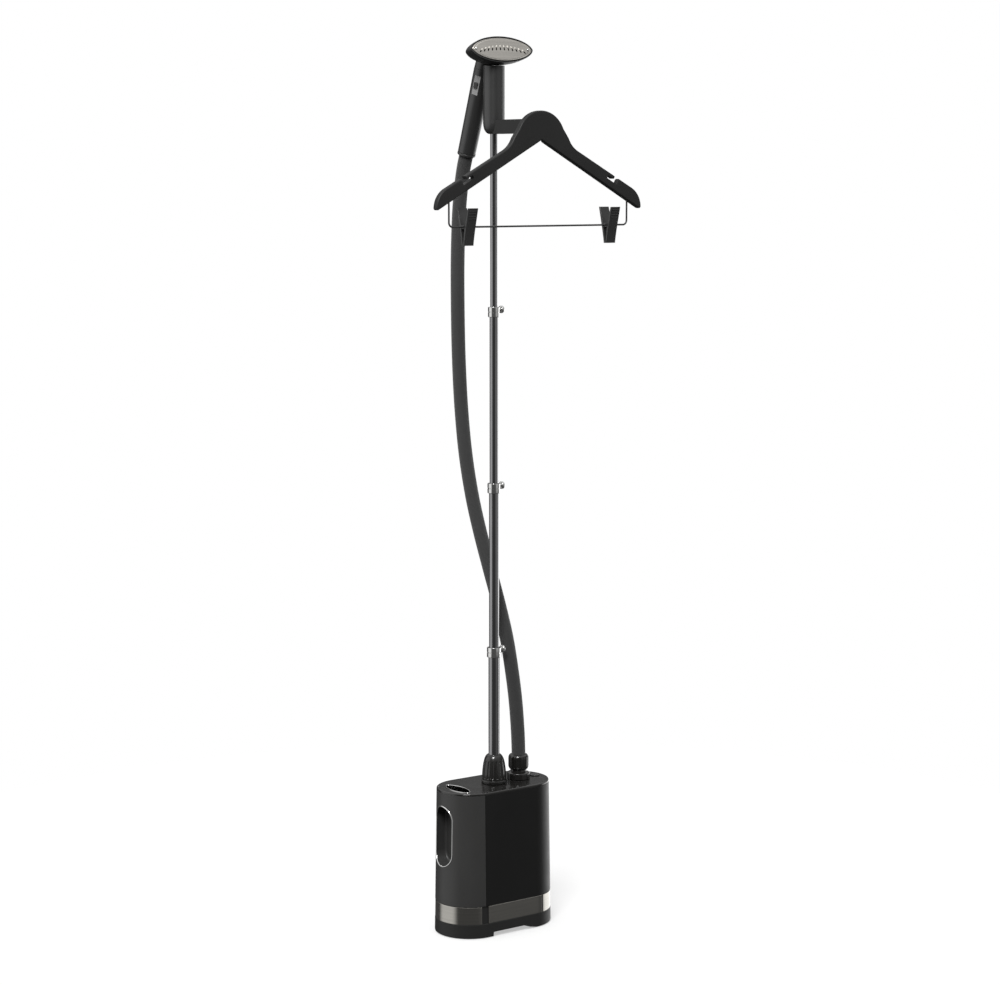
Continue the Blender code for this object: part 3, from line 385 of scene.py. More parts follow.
def turned(name, profile, sides=64, tube=False):
    """Pulls a ring along the profile's (radius, height) points, then closes its ends, or its wall if a tube."""
    points = profile + profile[:1] if tube else profile
    radius, height = points[0]
    piece = start(
        "circle", name, vertices=sides, radius=radius, location=(0, 0, height), rotation=(0, 0, math.pi / sides)
    )
    with editing(piece, "EDGE"):
        bpy.ops.mesh.select_all(action="SELECT")
        for (r, z), (next_r, next_z) in zip(points, points[1:]):
            bpy.ops.mesh.extrude_region_move(TRANSFORM_OT_translate={"value": (0, 0, next_z - z)})
            grow = next_r / r
            bpy.ops.transform.resize(value=(grow, grow, 1), center_override=(0, 0, next_z))
        bpy.ops.mesh.select_all(action="SELECT")
        if tube:
            bpy.ops.mesh.remove_doubles(threshold=0.000002)
        else:
            bpy.ops.mesh.fill_holes(sides=0)
        bpy.ops.mesh.select_all(action="SELECT")
        bpy.ops.mesh.normals_make_consistent(inside=False)
    return piece


def sliced(piece, axis, value, side):
    """Cuts the piece flat where an axis has a value, and keeps what lies below it, or above it if side is -1."""
    point, normal = Vector((0, 0, 0)), Vector((0, 0, 0))
    point[axis], normal[axis] = value, side
    with editing(piece):
        bpy.ops.mesh.select_all(action="SELECT")
        bpy.ops.mesh.bisect(plane_co=point, plane_no=normal, use_fill=True, clear_outer=True)
        bpy.ops.mesh.select_all(action="SELECT")
        bpy.ops.mesh.normals_make_consistent(inside=False)
    return piece


def pushed_apart(piece, axis, distance):
    """Moves the two halves of a round piece apart, which leaves straight sides between round ends."""
    with editing(piece, "VERT"):
        for side in (-1, 1):
            shift = Vector((0, 0, 0))
            shift[axis] = side * distance
            pick(piece, "verts", lambda vert: vert.co[axis] * side > 0)
            bpy.ops.transform.translate(value=shift)
    return piece


def reshaped(piece, rule):
    """Moves every point of a piece to where the rule puts it."""
    for vert in piece.data.vertices:
        vert.co = rule(vert.co)
    return piece


def columns(count, per_column, wanted, low, high, least):
    """A test for the faces of every flute or rib between two heights, outside a radius."""
    step = 2 * math.pi / (count * per_column)

    def test(face):
        middle = face.calc_center_median()
        column = math.floor((math.atan2(middle.y, middle.x) + math.pi) / step + 0.5) % per_column
        outside = math.hypot(middle.x, middle.y) > least
        return column in wanted and low < middle.z < high and outside

    return test


def sunk(piece, test, border, depth):
    """Insets each group of picked faces and pushes it inwards."""
    with editing(piece):
        pick(piece, "faces", test)
        bpy.ops.mesh.inset(thickness=border, depth=-depth)


def tip(middle_r, middle_z, radius, begin, end, count):
    """(radius, height) points of a round stretch in a profile; angles in degrees."""
    turns = [math.radians(begin + (end - begin) * step / count) for step in range(count + 1)]
    return [(middle_r + radius * math.cos(t), middle_z + radius * math.sin(t)) for t in turns]


def flat_piece(name, outline, thickness, rounding, matrix):
    """A plate with rounded edges, drawn as a closed curve and made a mesh before it is placed."""
    curve = bpy.data.curves.new(name, "CURVE")
    curve.dimensions = "2D"
    curve.fill_mode = "BOTH"
    curve.extrude = thickness / 2 - rounding
    curve.bevel_depth = rounding
    curve.bevel_resolution = 3
    curve.offset = -rounding
    spline = curve.splines.new("POLY")
    spline.points.add(len(outline) - 1)
    for target, (x, y) in zip(spline.points, outline):
        target.co = (x, y, 0.0, 1.0)
    spline.use_cyclic_u = True
    return as_mesh(name, curve, matrix)


def wire(name, points, radius, closed=False, resolution=6):
    """A round wire along a line of points, as a mesh."""
    curve = bpy.data.curves.new(name, "CURVE")
    curve.dimensions = "3D"
    curve.bevel_depth = radius
    curve.bevel_resolution = resolution
    curve.use_fill_caps = True
    spline = curve.splines.new("POLY")
    spline.points.add(len(points) - 1)
    for target, point in zip(spline.points, points):
        target.co = (*point, 1.0)
    spline.use_cyclic_u = closed
    return as_mesh(name, curve, Matrix.Identity(4))


def as_mesh(name, curve, matrix):
    piece = bpy.data.objects.new(name, curve)
    bpy.context.scene.collection.objects.link(piece)
    activate(piece)
    bpy.ops.object.convert(target="MESH")
    piece = bpy.context.object
    with editing(piece, "VERT"):
        bpy.ops.mesh.select_all(action="SELECT")
        bpy.ops.mesh.remove_doubles(threshold=0.000002)
        bpy.ops.mesh.normals_make_consistent(inside=False)
    piece.name = piece.data.name = name
    return settle(piece, matrix)


def merged_copy(node, rounding=0.0):
    """A copy of a frame node with its loose triangles merged and its edges rounded."""
    piece = bpy.data.objects.new(node + "_shown", frame["nodes"][node].data.copy())
    bpy.context.scene.collection.objects.link(piece)
    with editing(piece, "VERT"):
        bpy.ops.mesh.select_all(action="SELECT")
        bpy.ops.mesh.remove_doubles(threshold=0.000005)
        bpy.ops.mesh.dissolve_limited(angle_limit=math.radians(0.6))
    if rounding:
        soften(piece, rounding, 2, 40.0)
    return piece


def joined(name, pieces):
    """Several separate solids as one piece."""
    activate(pieces[0])
    for piece in pieces:
        piece.select_set(True)
    bpy.ops.object.join()
    pieces[0].name = pieces[0].data.name = name
    return pieces[0]


def finished(piece, *nodes, body=None, slot=None, look=None, angle=32.0):
    """Smooths a piece, gives it its finish and hands it to its body in place of the frame's nodes."""
    slot = slot or SLOT_OF[nodes[0]]
    activate(piece)
    bpy.ops.object.shade_smooth_by_angle(angle=math.radians(angle))
    modify(piece, "WEIGHTED_NORMAL", keep_sharp=True)
    piece.data.materials.clear()
    piece.data.materials.append(finish(look or slot))
    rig.ride(piece, body or BODY_OF[nodes[0]])
    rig.slot(piece, slot)
    if nodes:
        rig.replaces(piece, *nodes)
    return piece


# ---------------------------------------------------------------- shader graphs
class Socket:
    """A shader output that can stand in a Python expression."""

    def __init__(self, graph, socket):
        self.graph = graph
        self.socket = socket

    def maths(self, operation, *values):
        return self.graph.node("ShaderNodeMath", {"operation": operation}, dict(enumerate(values)))

    def __add__(self, other):
        return self.maths("ADD", self, other)

    def __radd__(self, other):
        return self.maths("ADD", other, self)

    def __sub__(self, other):
        return self.maths("SUBTRACT", self, other)

    def __rsub__(self, other):
        return self.maths("SUBTRACT", other, self)

    def __mul__(self, other):
        return self.maths("MULTIPLY", self, other)

    def __rmul__(self, other):
        return self.maths("MULTIPLY", other, self)

    def __truediv__(self, other):
        return self.maths("DIVIDE", self, other)

    def __pow__(self, other):
        return self.maths("POWER", self, other)


class Graph:
    """The node graph of a material or of the world."""

    def __init__(self, owner):
        owner.use_nodes = True
        self.tree = owner.node_tree

    def node(self, kind, settings=None, inputs=None, output=0):
        """Adds a node, sets it, then fills its sockets with values or links."""
        made = self.tree.nodes.new(kind)
        for key, value in (settings or {}).items():
            if key == "stops":
                for stop, (place, shade) in zip(made.color_ramp.elements, value):
                    stop.position = place
                    stop.color = (shade, shade, shade, 1.0)
            else:
                setattr(made, key, value)
        for key, value in (inputs or {}).items():
            if isinstance(value, Socket):
                self.tree.links.new(value.socket, made.inputs[key])
            else:
                made.inputs[key].default_value = value
        return Socket(self, made.outputs[output])

    def place(self, scale=(1.0, 1.0, 1.0), turn=(0.0, 0.0, 0.0)):
        """Object coordinates, stretched and turned."""
        here = self.node("ShaderNodeTexCoord", output="Object")
        return self.node("ShaderNodeMapping", {}, {"Vector": here, "Scale": scale, "Rotation": turn})

    def noise(self, where, scale, detail=2.0, roughness=0.5):
        inputs = {"Vector": where, "Scale": scale, "Detail": detail, "Roughness": roughness}
        return self.node("ShaderNodeTexNoise", {}, inputs)

    def ramp(self, value, low, high):
        """0 at low and 1 at high, smoothly."""
        inputs = {"Value": value, "From Min": low, "From Max": high}
        return self.node("ShaderNodeMapRange", {"interpolation_type": "SMOOTHSTEP"}, inputs)

    def mix(self, share, first, second):
        """A colour between two; each is a colour or a link."""
        colours = {6: first, 7: second}
        values = {key: c if isinstance(c, Socket) else (*c, 1.0) for key, c in colours.items()}
        return self.node("ShaderNodeMix", {"data_type": "RGBA"}, {0: share, **values}, 2)

    def bump(self, height, depth, before=None):
        inputs = {"Height": height, "Distance": depth, "Strength": 1.0}
        if before:
            inputs["Normal"] = before
        return self.node("ShaderNodeBump", {}, inputs)

    def shade(self, **inputs):
        """Sets or links sockets of the material's own shader; a name's words are joined by _."""
        shader = self.tree.nodes["Principled BSDF"]
        for key, value in inputs.items():
            target = shader.inputs[key.replace("_", " ")]
            if isinstance(value, Socket):
                self.tree.links.new(value.socket, target)
            else:
                target.default_value = value


def tinted(shade, factor):
    return tuple(min(1.0, channel * factor) for channel in shade)


def new_finish(name):
    """A new material; its name is set apart from those that came with the frame."""
    return Graph(bpy.data.materials.new(f"steamer_{name}"))


# ---------------------------------------------------------------- finishes
def moulded(name, shade, roughness, grain, depth, level=0.5):
    """Injection-moulded plastic: a fine spark grain, faint flow marks and a little handling shine."""
    graph = new_finish(name)
    here = graph.place()
    flow = graph.noise(graph.place((1.0, 1.0, 0.35)), 16.0, 3.0)
    handling = graph.ramp(graph.noise(here, 42.0, 4.0, 0.6), 0.45, 0.75)
    spark = graph.noise(here, 1.0 / grain, 2.0, 0.6)
    graph.shade(
        Base_Color=graph.mix(flow, tinted(shade, 0.86), tinted(shade, 1.14)),
        Roughness=roughness + (flow - 0.5) * 0.08 - handling * 0.06,
        Normal=graph.bump(spark, depth),
        Specular_IOR_Level=level,
    )


def polished(name, shade, roughness, coat):
    """Polished plastic: a wavy moulded skin under a clear gloss, with faint smears."""
    graph = new_finish(name)
    here = graph.place()
    smear = graph.ramp(graph.noise(graph.place((1.0, 3.0, 1.0)), 30.0, 5.0, 0.65), 0.40, 0.80)
    wave = graph.noise(here, 38.0, 1.0)
    graph.shade(
        Base_Color=graph.mix(smear, tinted(shade, 0.95), tinted(shade, 1.25)),
        Roughness=roughness + smear * 0.10,
        Normal=graph.bump(wave, 0.00004),
        Coat_Weight=coat - smear * 0.15,
        Coat_Roughness=0.06,
        Specular_IOR_Level=0.4,
    )


def plated(name, shade, roughness, spread):
    """Plated metal: faint drawing lines along the piece and a slight orange peel."""
    graph = new_finish(name)
    lines = graph.noise(graph.place((900.0, 900.0, 6.0)), 1.0, 2.0)
    peel = graph.noise(graph.place(), 160.0, 2.0)
    cloud = graph.noise(graph.place(), 22.0, 3.0)
    graph.shade(
        Base_Color=graph.mix(cloud, tinted(shade, 0.92), tinted(shade, 1.06)),
        Metallic=1.0,
        Roughness=roughness + (lines - 0.5) * spread + (cloud - 0.5) * 0.05,
        Normal=graph.bump(peel, 0.00001),
    )


def brushed(name, shade, roughness, stretch, depth):
    """Brushed metal: fine scratches along one direction, lighter and darker in streaks."""
    graph = new_finish(name)
    scratches = graph.noise(graph.place(stretch), 1.0, 4.0, 0.65)
    streaks = graph.noise(graph.place(tuple(value / 6 for value in stretch)), 1.0, 3.0)
    graph.shade(
        Base_Color=graph.mix(streaks, tinted(shade, 0.80), tinted(shade, 1.16)),
        Metallic=1.0,
        Roughness=roughness + (scratches - 0.5) * 0.22,
        Normal=graph.bump(scratches, depth),
    )


def rubbery(name, shade, roughness, speck):
    """Matt rubber or silicone with a powdery bloom."""
    graph = new_finish(name)
    bloom = graph.noise(graph.place(), 90.0, 4.0, 0.7)
    pores = graph.noise(graph.place(), 1.0 / speck, 2.0)
    graph.shade(
        Base_Color=graph.mix(bloom, tinted(shade, 0.82), tinted(shade, 1.30)),
        Roughness=roughness + (bloom - 0.5) * 0.12,
        Normal=graph.bump(pores, 0.00005),
    )


def woven(name, shade, strands, yarn_length):
    """Braided sleeve: two sets of yarns that cross over and under, with a soft fuzz; the low parts of the weave are
    painted darker, as painted shade between the yarns.
    """
    graph = new_finish(name)
    here = graph.node("ShaderNodeUVMap", {"uv_map": "UVMap"})
    split = graph.node("ShaderNodeSeparateXYZ", {}, {"Vector": here})
    along = Socket(graph, split.socket.node.outputs["Y"]) * (2 * math.pi / yarn_length)
    around = split * (2 * math.pi * strands)
    right = (around + along).maths("SINE", around + along)
    left = (around - along).maths("SINE", around - along)
    over = right.maths("MAXIMUM", right, left)
    crossing = right * left
    height = over * 0.7 + crossing * 0.3
    fuzz = graph.noise(graph.place(), 1400.0, 3.0, 0.7)
    cloud = graph.noise(graph.place((1.0, 1.0, 0.3)), 26.0, 3.0)
    worn = graph.mix(cloud, tinted(shade, 0.86), tinted(shade, 1.14))
    # The low parts of the weave are painted darker here: painted shade between the yarns.
    share = graph.ramp(height + (fuzz - 0.5) * 0.5, -0.5, 1.1)
    graph.shade(
        Base_Color=graph.mix(share, tinted(shade, 0.45), worn),
        Roughness=0.88 - over * 0.07,
        Normal=graph.bump(height + fuzz * 0.25, 0.00028),
        Sheen_Weight=0.25,
        Sheen_Roughness=0.45,
        Specular_IOR_Level=0.25,
    )


def board(name, shade):
    """Solder resist over copper tracks."""
    graph = new_finish(name)
    cells = graph.node(
        "ShaderNodeTexBrick",
        {},
        {"Vector": graph.place(turn=(math.pi / 2, 0, 0)), "Scale": 160.0, "Mortar Size": 0.06},
        "Fac",
    )
    graph.shade(Base_Color=graph.mix(cells, shade, tinted(shade, 1.9)), Roughness=0.34 + cells * 0.2)


def make_finishes(colours):
    """One material for each slot of the record."""
    moulded("black_body", colours.casing, 0.38, 0.0011, 0.00003, 0.20)
    moulded("tank_body", colours.tank, 0.36, 0.0011, 0.00003, 0.30)
    # The foot is the tank's plastic at 0.6 of its brightness: partly its own darker tone, partly painted shade for the
    # shadow on its right end.
    moulded("foot_body", tinted(colours.tank, 0.60), 0.40, 0.0011, 0.00003, 0.15)
    # The control face is made thirteen times lighter than the satin plastic: painted light, to make up for the shade on
    # that side of the handle.
    moulded("control_face", tinted(colours.satin, 13.0), 0.42, 0.0009, 0.00003)
    # This finish carries the gloss colour's warm tint, which is a painted reflection of the room.
    polished("black_gloss", colours.gloss, 0.16, 0.55)
    moulded("satin_black", colours.satin, 0.34, 0.0009, 0.00003, 0.75)
    moulded("hanger_finish", colours.hanger, 0.46, 0.0012, 0.00003, 0.25)
    brushed("smoked_metal", colours.smoked, 0.17, (14.0, 14.0, 2200.0), 0.000004)
    plated("chrome", colours.chrome, 0.12, 0.05)
    plated("black_chrome", colours.tube, 0.16, 0.08)
    brushed("plate_steel", colours.plate, 0.36, (30.0, 1500.0, 1500.0), 0.00001)
    woven("hose_fabric", colours.hose, 34, 0.0048)
    rubbery("rubber", colours.rubber, 0.78, 0.0012)
    rubbery("silicone", (0.72, 0.69, 0.63), 0.50, 0.0020)
    brushed("cast_alloy", (0.58, 0.58, 0.59), 0.48, (420.0, 420.0, 420.0), 0.00008)
    brushed("spring_steel", (0.52, 0.52, 0.54), 0.28, (900.0, 40.0, 900.0), 0.000004)
    board("board_green", (0.018, 0.110, 0.045))


def finish(name):
    material = bpy.data.materials.get(f"steamer_{name}")
    if material is None:
        raise RuntimeError(f"the finish {name} isn't made yet")
    return material


# ---------------------------------------------------------------- the studio
def make_camera(lens):
    data = bpy.data.cameras.new("camera")
    data.lens = lens
    data.sensor_width = 36.0
    data.clip_end = 100.0
    camera = bpy.data.objects.new("camera", data)
    camera.location = (-2.5739, POLE_Y - 3.6435, 1.3894)
    camera.rotation_euler = (math.radians(90.0 - 7.4006), 0.0, -math.radians(35.379))
    bpy.context.scene.collection.objects.link(camera)
    bpy.context.scene.camera = camera


def make_floor(size):
    """A glowing white disc that keeps faint shadows; only the camera sees it."""
    floor = start("circle", "studio_floor", vertices=96, radius=size / 2, fill_type="NGON", location=(0, 0, -0.0002))
    graph = new_finish("studio_floor")
    paper = graph.noise(graph.place(), 3.0, 2.0)
    graph.shade(Base_Color=graph.mix(paper, (0.96, 0.96, 0.96), (0.98, 0.98, 0.98)), Roughness=0.9)
    glow = graph.node("ShaderNodeEmission", {}, {"Color": (1, 1, 1, 1), "Strength": 1.05})
    lit = Socket(graph, graph.tree.nodes["Principled BSDF"].outputs["BSDF"])
    here = graph.node("ShaderNodeTexCoord", output="Object")
    away = graph.node("ShaderNodeVectorMath", {"operation": "LENGTH"}, {0: here}, "Value")
    share = 0.45 + graph.ramp(away, size * 0.12, size * 0.30) * 0.55
    both = graph.node("ShaderNodeMixShader", {}, {0: share, 1: lit, 2: glow})
    graph.tree.links.new(both.socket, graph.tree.nodes["Material Output"].inputs["Surface"])
    floor.data.materials.append(finish("studio_floor"))
    floor.visible_glossy = False
    floor.visible_diffuse = False
    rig.stage(floor)


def make_light(name, power, size, place, aim):
    data = bpy.data.lights.new(name, "AREA")
    data.energy = power
    data.size = size
    light = bpy.data.objects.new(name, data)
    light.location = place
    light.rotation_euler = (Vector(aim) - Vector(place)).to_track_quat("-Z", "Y").to_euler()
    bpy.context.scene.collection.objects.link(light)
    return light


def make_world(studio):
    """A dim room with a panel to the left and one to the right, a bright ceiling and a white background."""
    world = bpy.data.worlds.new("studio")
    bpy.context.scene.world = world
    graph = Graph(world)
    here = graph.node("ShaderNodeTexCoord", output="Generated")
    split = graph.node("ShaderNodeSeparateXYZ", {}, {"Vector": here})
    x, y, z = (Socket(graph, split.socket.node.outputs[axis]) for axis in "XYZ")
    left = graph.ramp(-0.906 * x + 0.423 * y, 0.72, 0.92) * studio.left
    right = graph.ramp(0.966 * x + 0.259 * y, 0.68, 0.90) * studio.right * (1.0 - graph.ramp(z, 0.0, 0.2))
    front = graph.ramp(0.423 * x - 0.906 * y, 0.84, 0.96) * graph.ramp(z, -0.30, -0.10) * studio.front
    panels = (left + right) * graph.ramp(z, -0.60, -0.20) + front
    behind = graph.ramp(0.577 * x + 0.817 * y, 0.60, 0.95) * graph.ramp(z, 0.02, 0.10) * studio.behind
    level = studio.level + panels + behind + graph.ramp(z, 0.16, 0.80) * studio.above
    soft = graph.node("ShaderNodeBackground", {}, {"Color": (1, 1, 1, 1), "Strength": level})
    white = graph.node("ShaderNodeBackground", {}, {"Color": (1, 1, 1, 1), "Strength": 1.0})
    seen = graph.node("ShaderNodeLightPath", output="Is Camera Ray")
    both = graph.node("ShaderNodeMixShader", {}, {0: seen, 1: soft, 2: white})
    graph.tree.links.new(both.socket, graph.tree.nodes["World Output"].inputs["Surface"])


# ---------------------------------------------------------------- hose
def route():
    """The hose's middle line: up out of the base, in one long bow behind the pole, into the handle's foot."""
    along = HANDLE.to_3x3() @ Vector((0, 0, 1))
    free = [
        (0.0556, 0.0000, 0.2925),
        (0.0556, 0.0002, 0.3200),
        (0.0548, 0.0016, 0.3600),
        (0.0520, 0.0045, 0.4150),
        (0.0475, 0.0095, 0.4700),
        (0.0412, 0.0185, 0.5350),
        (0.0330, 0.0330, 0.6000),
        (0.0245, 0.0510, 0.6650),
        (0.0165, 0.0690, 0.7300),
        (0.0095, 0.0850, 0.7980),
        (0.0040, 0.0975, 0.8750),
        (0.0010, 0.1065, 0.9600),
        (0.0, 0.1125, 1.0500),
        (0.0, 0.1155, 1.1400),
        (0.0, 0.1155, 1.2300),
        (0.0, 0.1110, 1.3100),
        (0.0, 0.1035, 1.3620),
    ]
    inside = [HANDLE_FOOT + along * reach for reach in (-0.030, 0.0, 0.025, 0.058)]
    return [Vector(point) + POLE_PLACE for point in free] + inside


def smooth_line(knots, steps):
    """Points along a Catmull-Rom curve through the knots."""
    ends = [2 * knots[0] - knots[1]] + knots + [2 * knots[-1] - knots[-2]]
    line = []
    for a, b, c, d in zip(ends, ends[1:], ends[2:], ends[3:]):
        for step in range(steps):
            t = step / steps
            bend = (2 * a - 5 * b + 4 * c - d) * t * t + (3 * b - a - 3 * c + d) * t * t * t
            line.append(0.5 * (2 * b + (c - a) * t + bend))
    return line + [knots[-1]]


def at_height(line, z):
    """The point of a rising line at a height, and the line's direction there."""
    for low, high in zip(line, line[1:]):
        if low.z <= z <= high.z + 0.0000001:
            return low.lerp(high, (z - low.z) / (high.z - low.z)), (high - low).normalized()
    return line[-1], (line[-1] - line[-2]).normalized()


def hose_stretch(name, line, low, high, begun, sizes, radius):
    """A tube between two heights whose rings all lie level, so that two stretches meet without a step.
    The map's X runs once round, and its Y is the distance along the hose from its foot."""
    count = max(2, round((high - low) / sizes.hose_spacing))
    sides = sizes.hose_sides
    mesh = bmesh.new()
    layer = mesh.loops.layers.uv.new("UVMap")
    path, rings, travelled = [], [], [begun]
    for step in range(count + 1):
        middle, forward = at_height(line, low + (high - low) * step / count)
        side = forward.cross(Vector((0, 1, 0))).normalized()
        up = forward.cross(side).normalized()
        ring = []
        for corner in range(sides):
            turn = 2 * math.pi * corner / sides
            offset = (side * math.cos(turn) + up * math.sin(turn)) * radius
            offset -= forward * (offset.z / forward.z)
            ring.append(mesh.verts.new(middle + offset))
        if path:
            travelled.append(travelled[-1] + (middle - path[-1]).length)
        path.append(middle)
        rings.append(ring)
    for step, (lower, upper) in enumerate(zip(rings, rings[1:])):
        for corner in range(sides):
            following = (corner + 1) % sides
            quad = (lower[corner], lower[following], upper[following], upper[corner])
            face = mesh.faces.new(quad)
            places = ((corner, step), (corner + 1, step), (corner + 1, step + 1), (corner, step + 1))
            for loop, (u, v) in zip(face.loops, places):
                loop[layer].uv = (u / sides, travelled[v])
    mesh.faces.new(reversed(rings[0]))
    mesh.faces.new(rings[-1])
    bmesh.ops.recalc_face_normals(mesh, faces=mesh.faces)
    data = bpy.data.meshes.new(name)
    mesh.to_mesh(data)
    mesh.free()
    piece = bpy.data.objects.new(name, data)
    bpy.context.scene.collection.objects.link(piece)
    return piece, path, travelled[-1]


def make_hose(sizes):
    """Four stretches that meet seamlessly; each rides on one tube of the pole, and all but the top one shorten as they
    sink.
    """
    line = smooth_line(route(), 24)
    radius = 0.0128
    seams = (line[0].z, 0.640, 1.000, 1.325, line[-1].z)
    riders = ("root", "pole_2", "pole_3", "pole_top")
    shorteners = ("pole_slide_1", "pole_slide_2", "pole_slide_3", None)
    begun = 0.0
    for index, (low, high) in enumerate(zip(seams, seams[1:])):
        name = f"hose_stretch_{index + 1}"
        piece, path, ended = hose_stretch(name, line, low, high, begun, sizes, radius)
        piece.data.materials.append(finish("hose_fabric"))
        activate(piece)
        bpy.ops.object.shade_smooth_by_angle(angle=math.radians(50.0))
        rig.ride(piece, riders[index])
        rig.slot(piece, "hose_fabric")
        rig.replaces(piece, "steam_hose")
        if shorteners[index]:
            travel = abs(JOINTS[shorteners[index]]["range_m"][0])
            anchor = (0.0, POLE_Y, low)
            keep = 1.0 - travel / (high - low)
            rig.squash(piece, shorteners[index], axis=(0, 0, 1), anchor=anchor, keep=keep)
        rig.cord(
            piece,
            exit=path[0],
            length=ended - begun,
            diameter=2 * radius,
            far_end="object",
            stiffness="medium",
            lay="hanging",
            path=path,
        )
        begun = ended


# ---------------------------------------------------------------- base
def base_radius(z):
    """The base narrows evenly from the floor to its top."""
    return BASE_R_FLOOR + (COVER_RADIUS - BASE_R_FLOOR) * z / COVER_LOW


def base_solid(name, profile, sides=128, tube=False):
    """A turned shape whose halves are pushed apart, which gives the base's plan with two round ends."""
    piece = pushed_apart(turned(name, profile, sides, tube), 0, BASE_STRAIGHT)
    return settle(piece, Matrix.Translation(BASE_CENTRE))


def drum(name, radius, low, high, place, sides=64):
    """A plain upright cutter."""
    middle = (place.x, place.y, (low + high) / 2)
    return start("cylinder", name, vertices=sides, radius=radius, depth=high - low, location=middle)


def lying_drum(name, radius, depth, place, sides=48):
    """A plain cutter along X."""
    turn = (0, math.pi / 2, 0)
    return start(
        "cylinder", name, vertices=sides, radius=radius, depth=depth, location=place, rotation=turn
    )


def box(name, size, place, matrix=Matrix.Identity(4)):
    piece = start("cube", name, size=1.0, scale=size)
    return settle(piece, matrix @ Matrix.Translation(place))


def make_tray():
    """The foot: a skirt with a set-in collar for the band, an arch below and four recesses for the pads."""
    skirt = base_radius(BAND_LOW)
    collar = base_radius(BAND_HIGH) - BAND_DEPTH
    lift = TRAY_LOW.z if TRAY_LOW.z > GAP else 0.0008
    profile = [
        (BASE_R_FLOOR - 0.0018, lift),
        (BASE_R_FLOOR - 0.0004, lift + 0.0009),
        (BASE_R_FLOOR, 0.0030),
        (skirt, BAND_LOW - 0.0004),
        (skirt - 0.0004, BAND_LOW),
        (skirt - BAND_DEPTH, BAND_LOW),
        (collar, BAND_HIGH + 0.0002),
        (collar - 0.003, BAND_HIGH + 0.0002),
        (collar - 0.003, TRAY_FLOOR),
    ]
    tray = base_solid("foot_tray", profile)
    arch = [
        (-0.0460, -0.0100),
        (0.0530, -0.0100),
        (0.0530, 0.0009),
        (0.0355, 0.0046),
        (0.0250, 0.0084),
        (0.0220, 0.0092),
        (-0.0440, 0.0092),
        (-0.0460, 0.0080),
    ]
    upright = Matrix.Translation(POLE_PLACE) @ Matrix.Rotation(math.pi / 2, 4, "X")
    carve(tray, flat_piece("arch", arch, 0.18, 0.00001, upright))
    for number in range(1, 5):
        low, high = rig.box(f"foot_pad_{number}")
        middle = (low + high) / 2
        carve(tray, drum("recess", (high.x - low.x) / 2 + 0.0004, -0.002, 0.0020, middle, 48))
    # The foot's finish is darkened partly as painted shade.
    finished(tray, "base_tray", look="foot_body")


def make_pads():
    for number in range(1, 5):
        low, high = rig.box(f"foot_pad_{number}")
        radius = (high.x - low.x) / 2
        profile = [(radius - 0.0004, 0.0), (radius, 0.0004), (radius, high.z)]
        pad = turned(f"rubber_pad_{number}", profile, 48)
        sunk(pad, lambda face: face.normal.z < -0.9, 0.0022, 0.0003)
        middle = (low + high) / 2
        settle(pad, Matrix.Translation((middle.x, middle.y, 0.0)))
        finished(pad, f"foot_pad_{number}")


def make_bands():
    """Four polished strips let into the foot, with a gap between each two."""
    low, high = BAND_LOW + GAP, BAND_HIGH - GAP
    profile = [
        (base_radius(low) - BAND_DEPTH + GAP, low),
        (base_radius(low) - 0.0006, low),
        (base_radius(low) - 0.0003, low + 0.0003),
        (base_radius(high) - 0.0003, high - 0.0003),
        (base_radius(high) - 0.0006, high),
        (base_radius(high) - BAND_DEPTH + GAP, high),
    ]
    for word in ("left", "front", "rear", "right"):
        node_low, node_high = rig.box(f"band_{word}")
        band = base_solid(f"foot_band_{word}", profile, 160, tube=True)
        if word != "left":
            sliced(band, 0, node_low.x, -1)
        if word != "right":
            sliced(band, 0, node_high.x, 1)
        if word == "front":
            sliced(band, 1, POLE_Y, 1)
        if word == "rear":
            sliced(band, 1, POLE_Y, -1)
        finished(band, f"band_{word}")


def wall_profile(low, high, inset):
    return [(base_radius(low) - inset, low), (base_radius(high) - inset, high)]


def make_casing(sizes):
    """The casing right of the seam, hollow, open below and bored for what stands on it."""
    shell = base_solid("casing", wall_profile(SHELL_LOW, SHELL_HIGH, 0.0))
    sliced(shell, 0, SEAM_X + GAP / 2, -1)
    soften(shell, sizes.seam_round, 3, 60.0)
    room = base_solid("room", wall_profile(SHELL_LOW - 0.01, SHELL_HIGH - BASE_WALL, BASE_WALL))
    sliced(room, 0, SEAM_X + BASE_WALL, -1)
    carve(shell, room)
    cover = base_solid("casing_top", cover_profile())
    sliced(cover, 0, SEAM_X + GAP / 2, -1)
    button = (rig.box("power_button")[0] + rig.box("power_button")[1]) / 2
    for place, radius in ((POLE_PLACE, 0.0132), (HOSE_PLACE, 0.0092), (button, 0.0093)):
        for piece in (shell, cover):
            carve(piece, drum("hole", radius, BASE_HEIGHT - 0.02, BASE_HEIGHT + 0.01, place))
    gland = (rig.box("mains_gland")[0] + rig.box("mains_gland")[1]) / 2
    side = Matrix.Translation(gland) @ Matrix.Rotation(math.pi / 2, 4, "X")
    carve(shell, settle(start("cylinder", "hole", vertices=48, radius=0.0068, depth=0.03), side))
    spout = Vector((SEAM_X, POLE_Y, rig.box("tank_spout")[0].z / 2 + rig.box("tank_spout")[1].z / 2))
    carve(shell, lying_drum("hole", 0.0098, 0.02, spout))
    finished(shell, "base_shell")
    finished(cover, "top_cover")


def cover_profile():
    """A thin slab with a rounded upper edge and a shallow step inside it."""
    edge = 0.0022
    corner = tip(COVER_RADIUS - 0.00005 - edge, BASE_HEIGHT - edge, edge, 0.0, 90.0, 8)
    ledge = COVER_RADIUS - edge - 0.0014
    return [(COVER_RADIUS, COVER_LOW)] + corner + [(ledge, BASE_HEIGHT), (ledge - 0.0005, BASE_HEIGHT - 0.0005)]


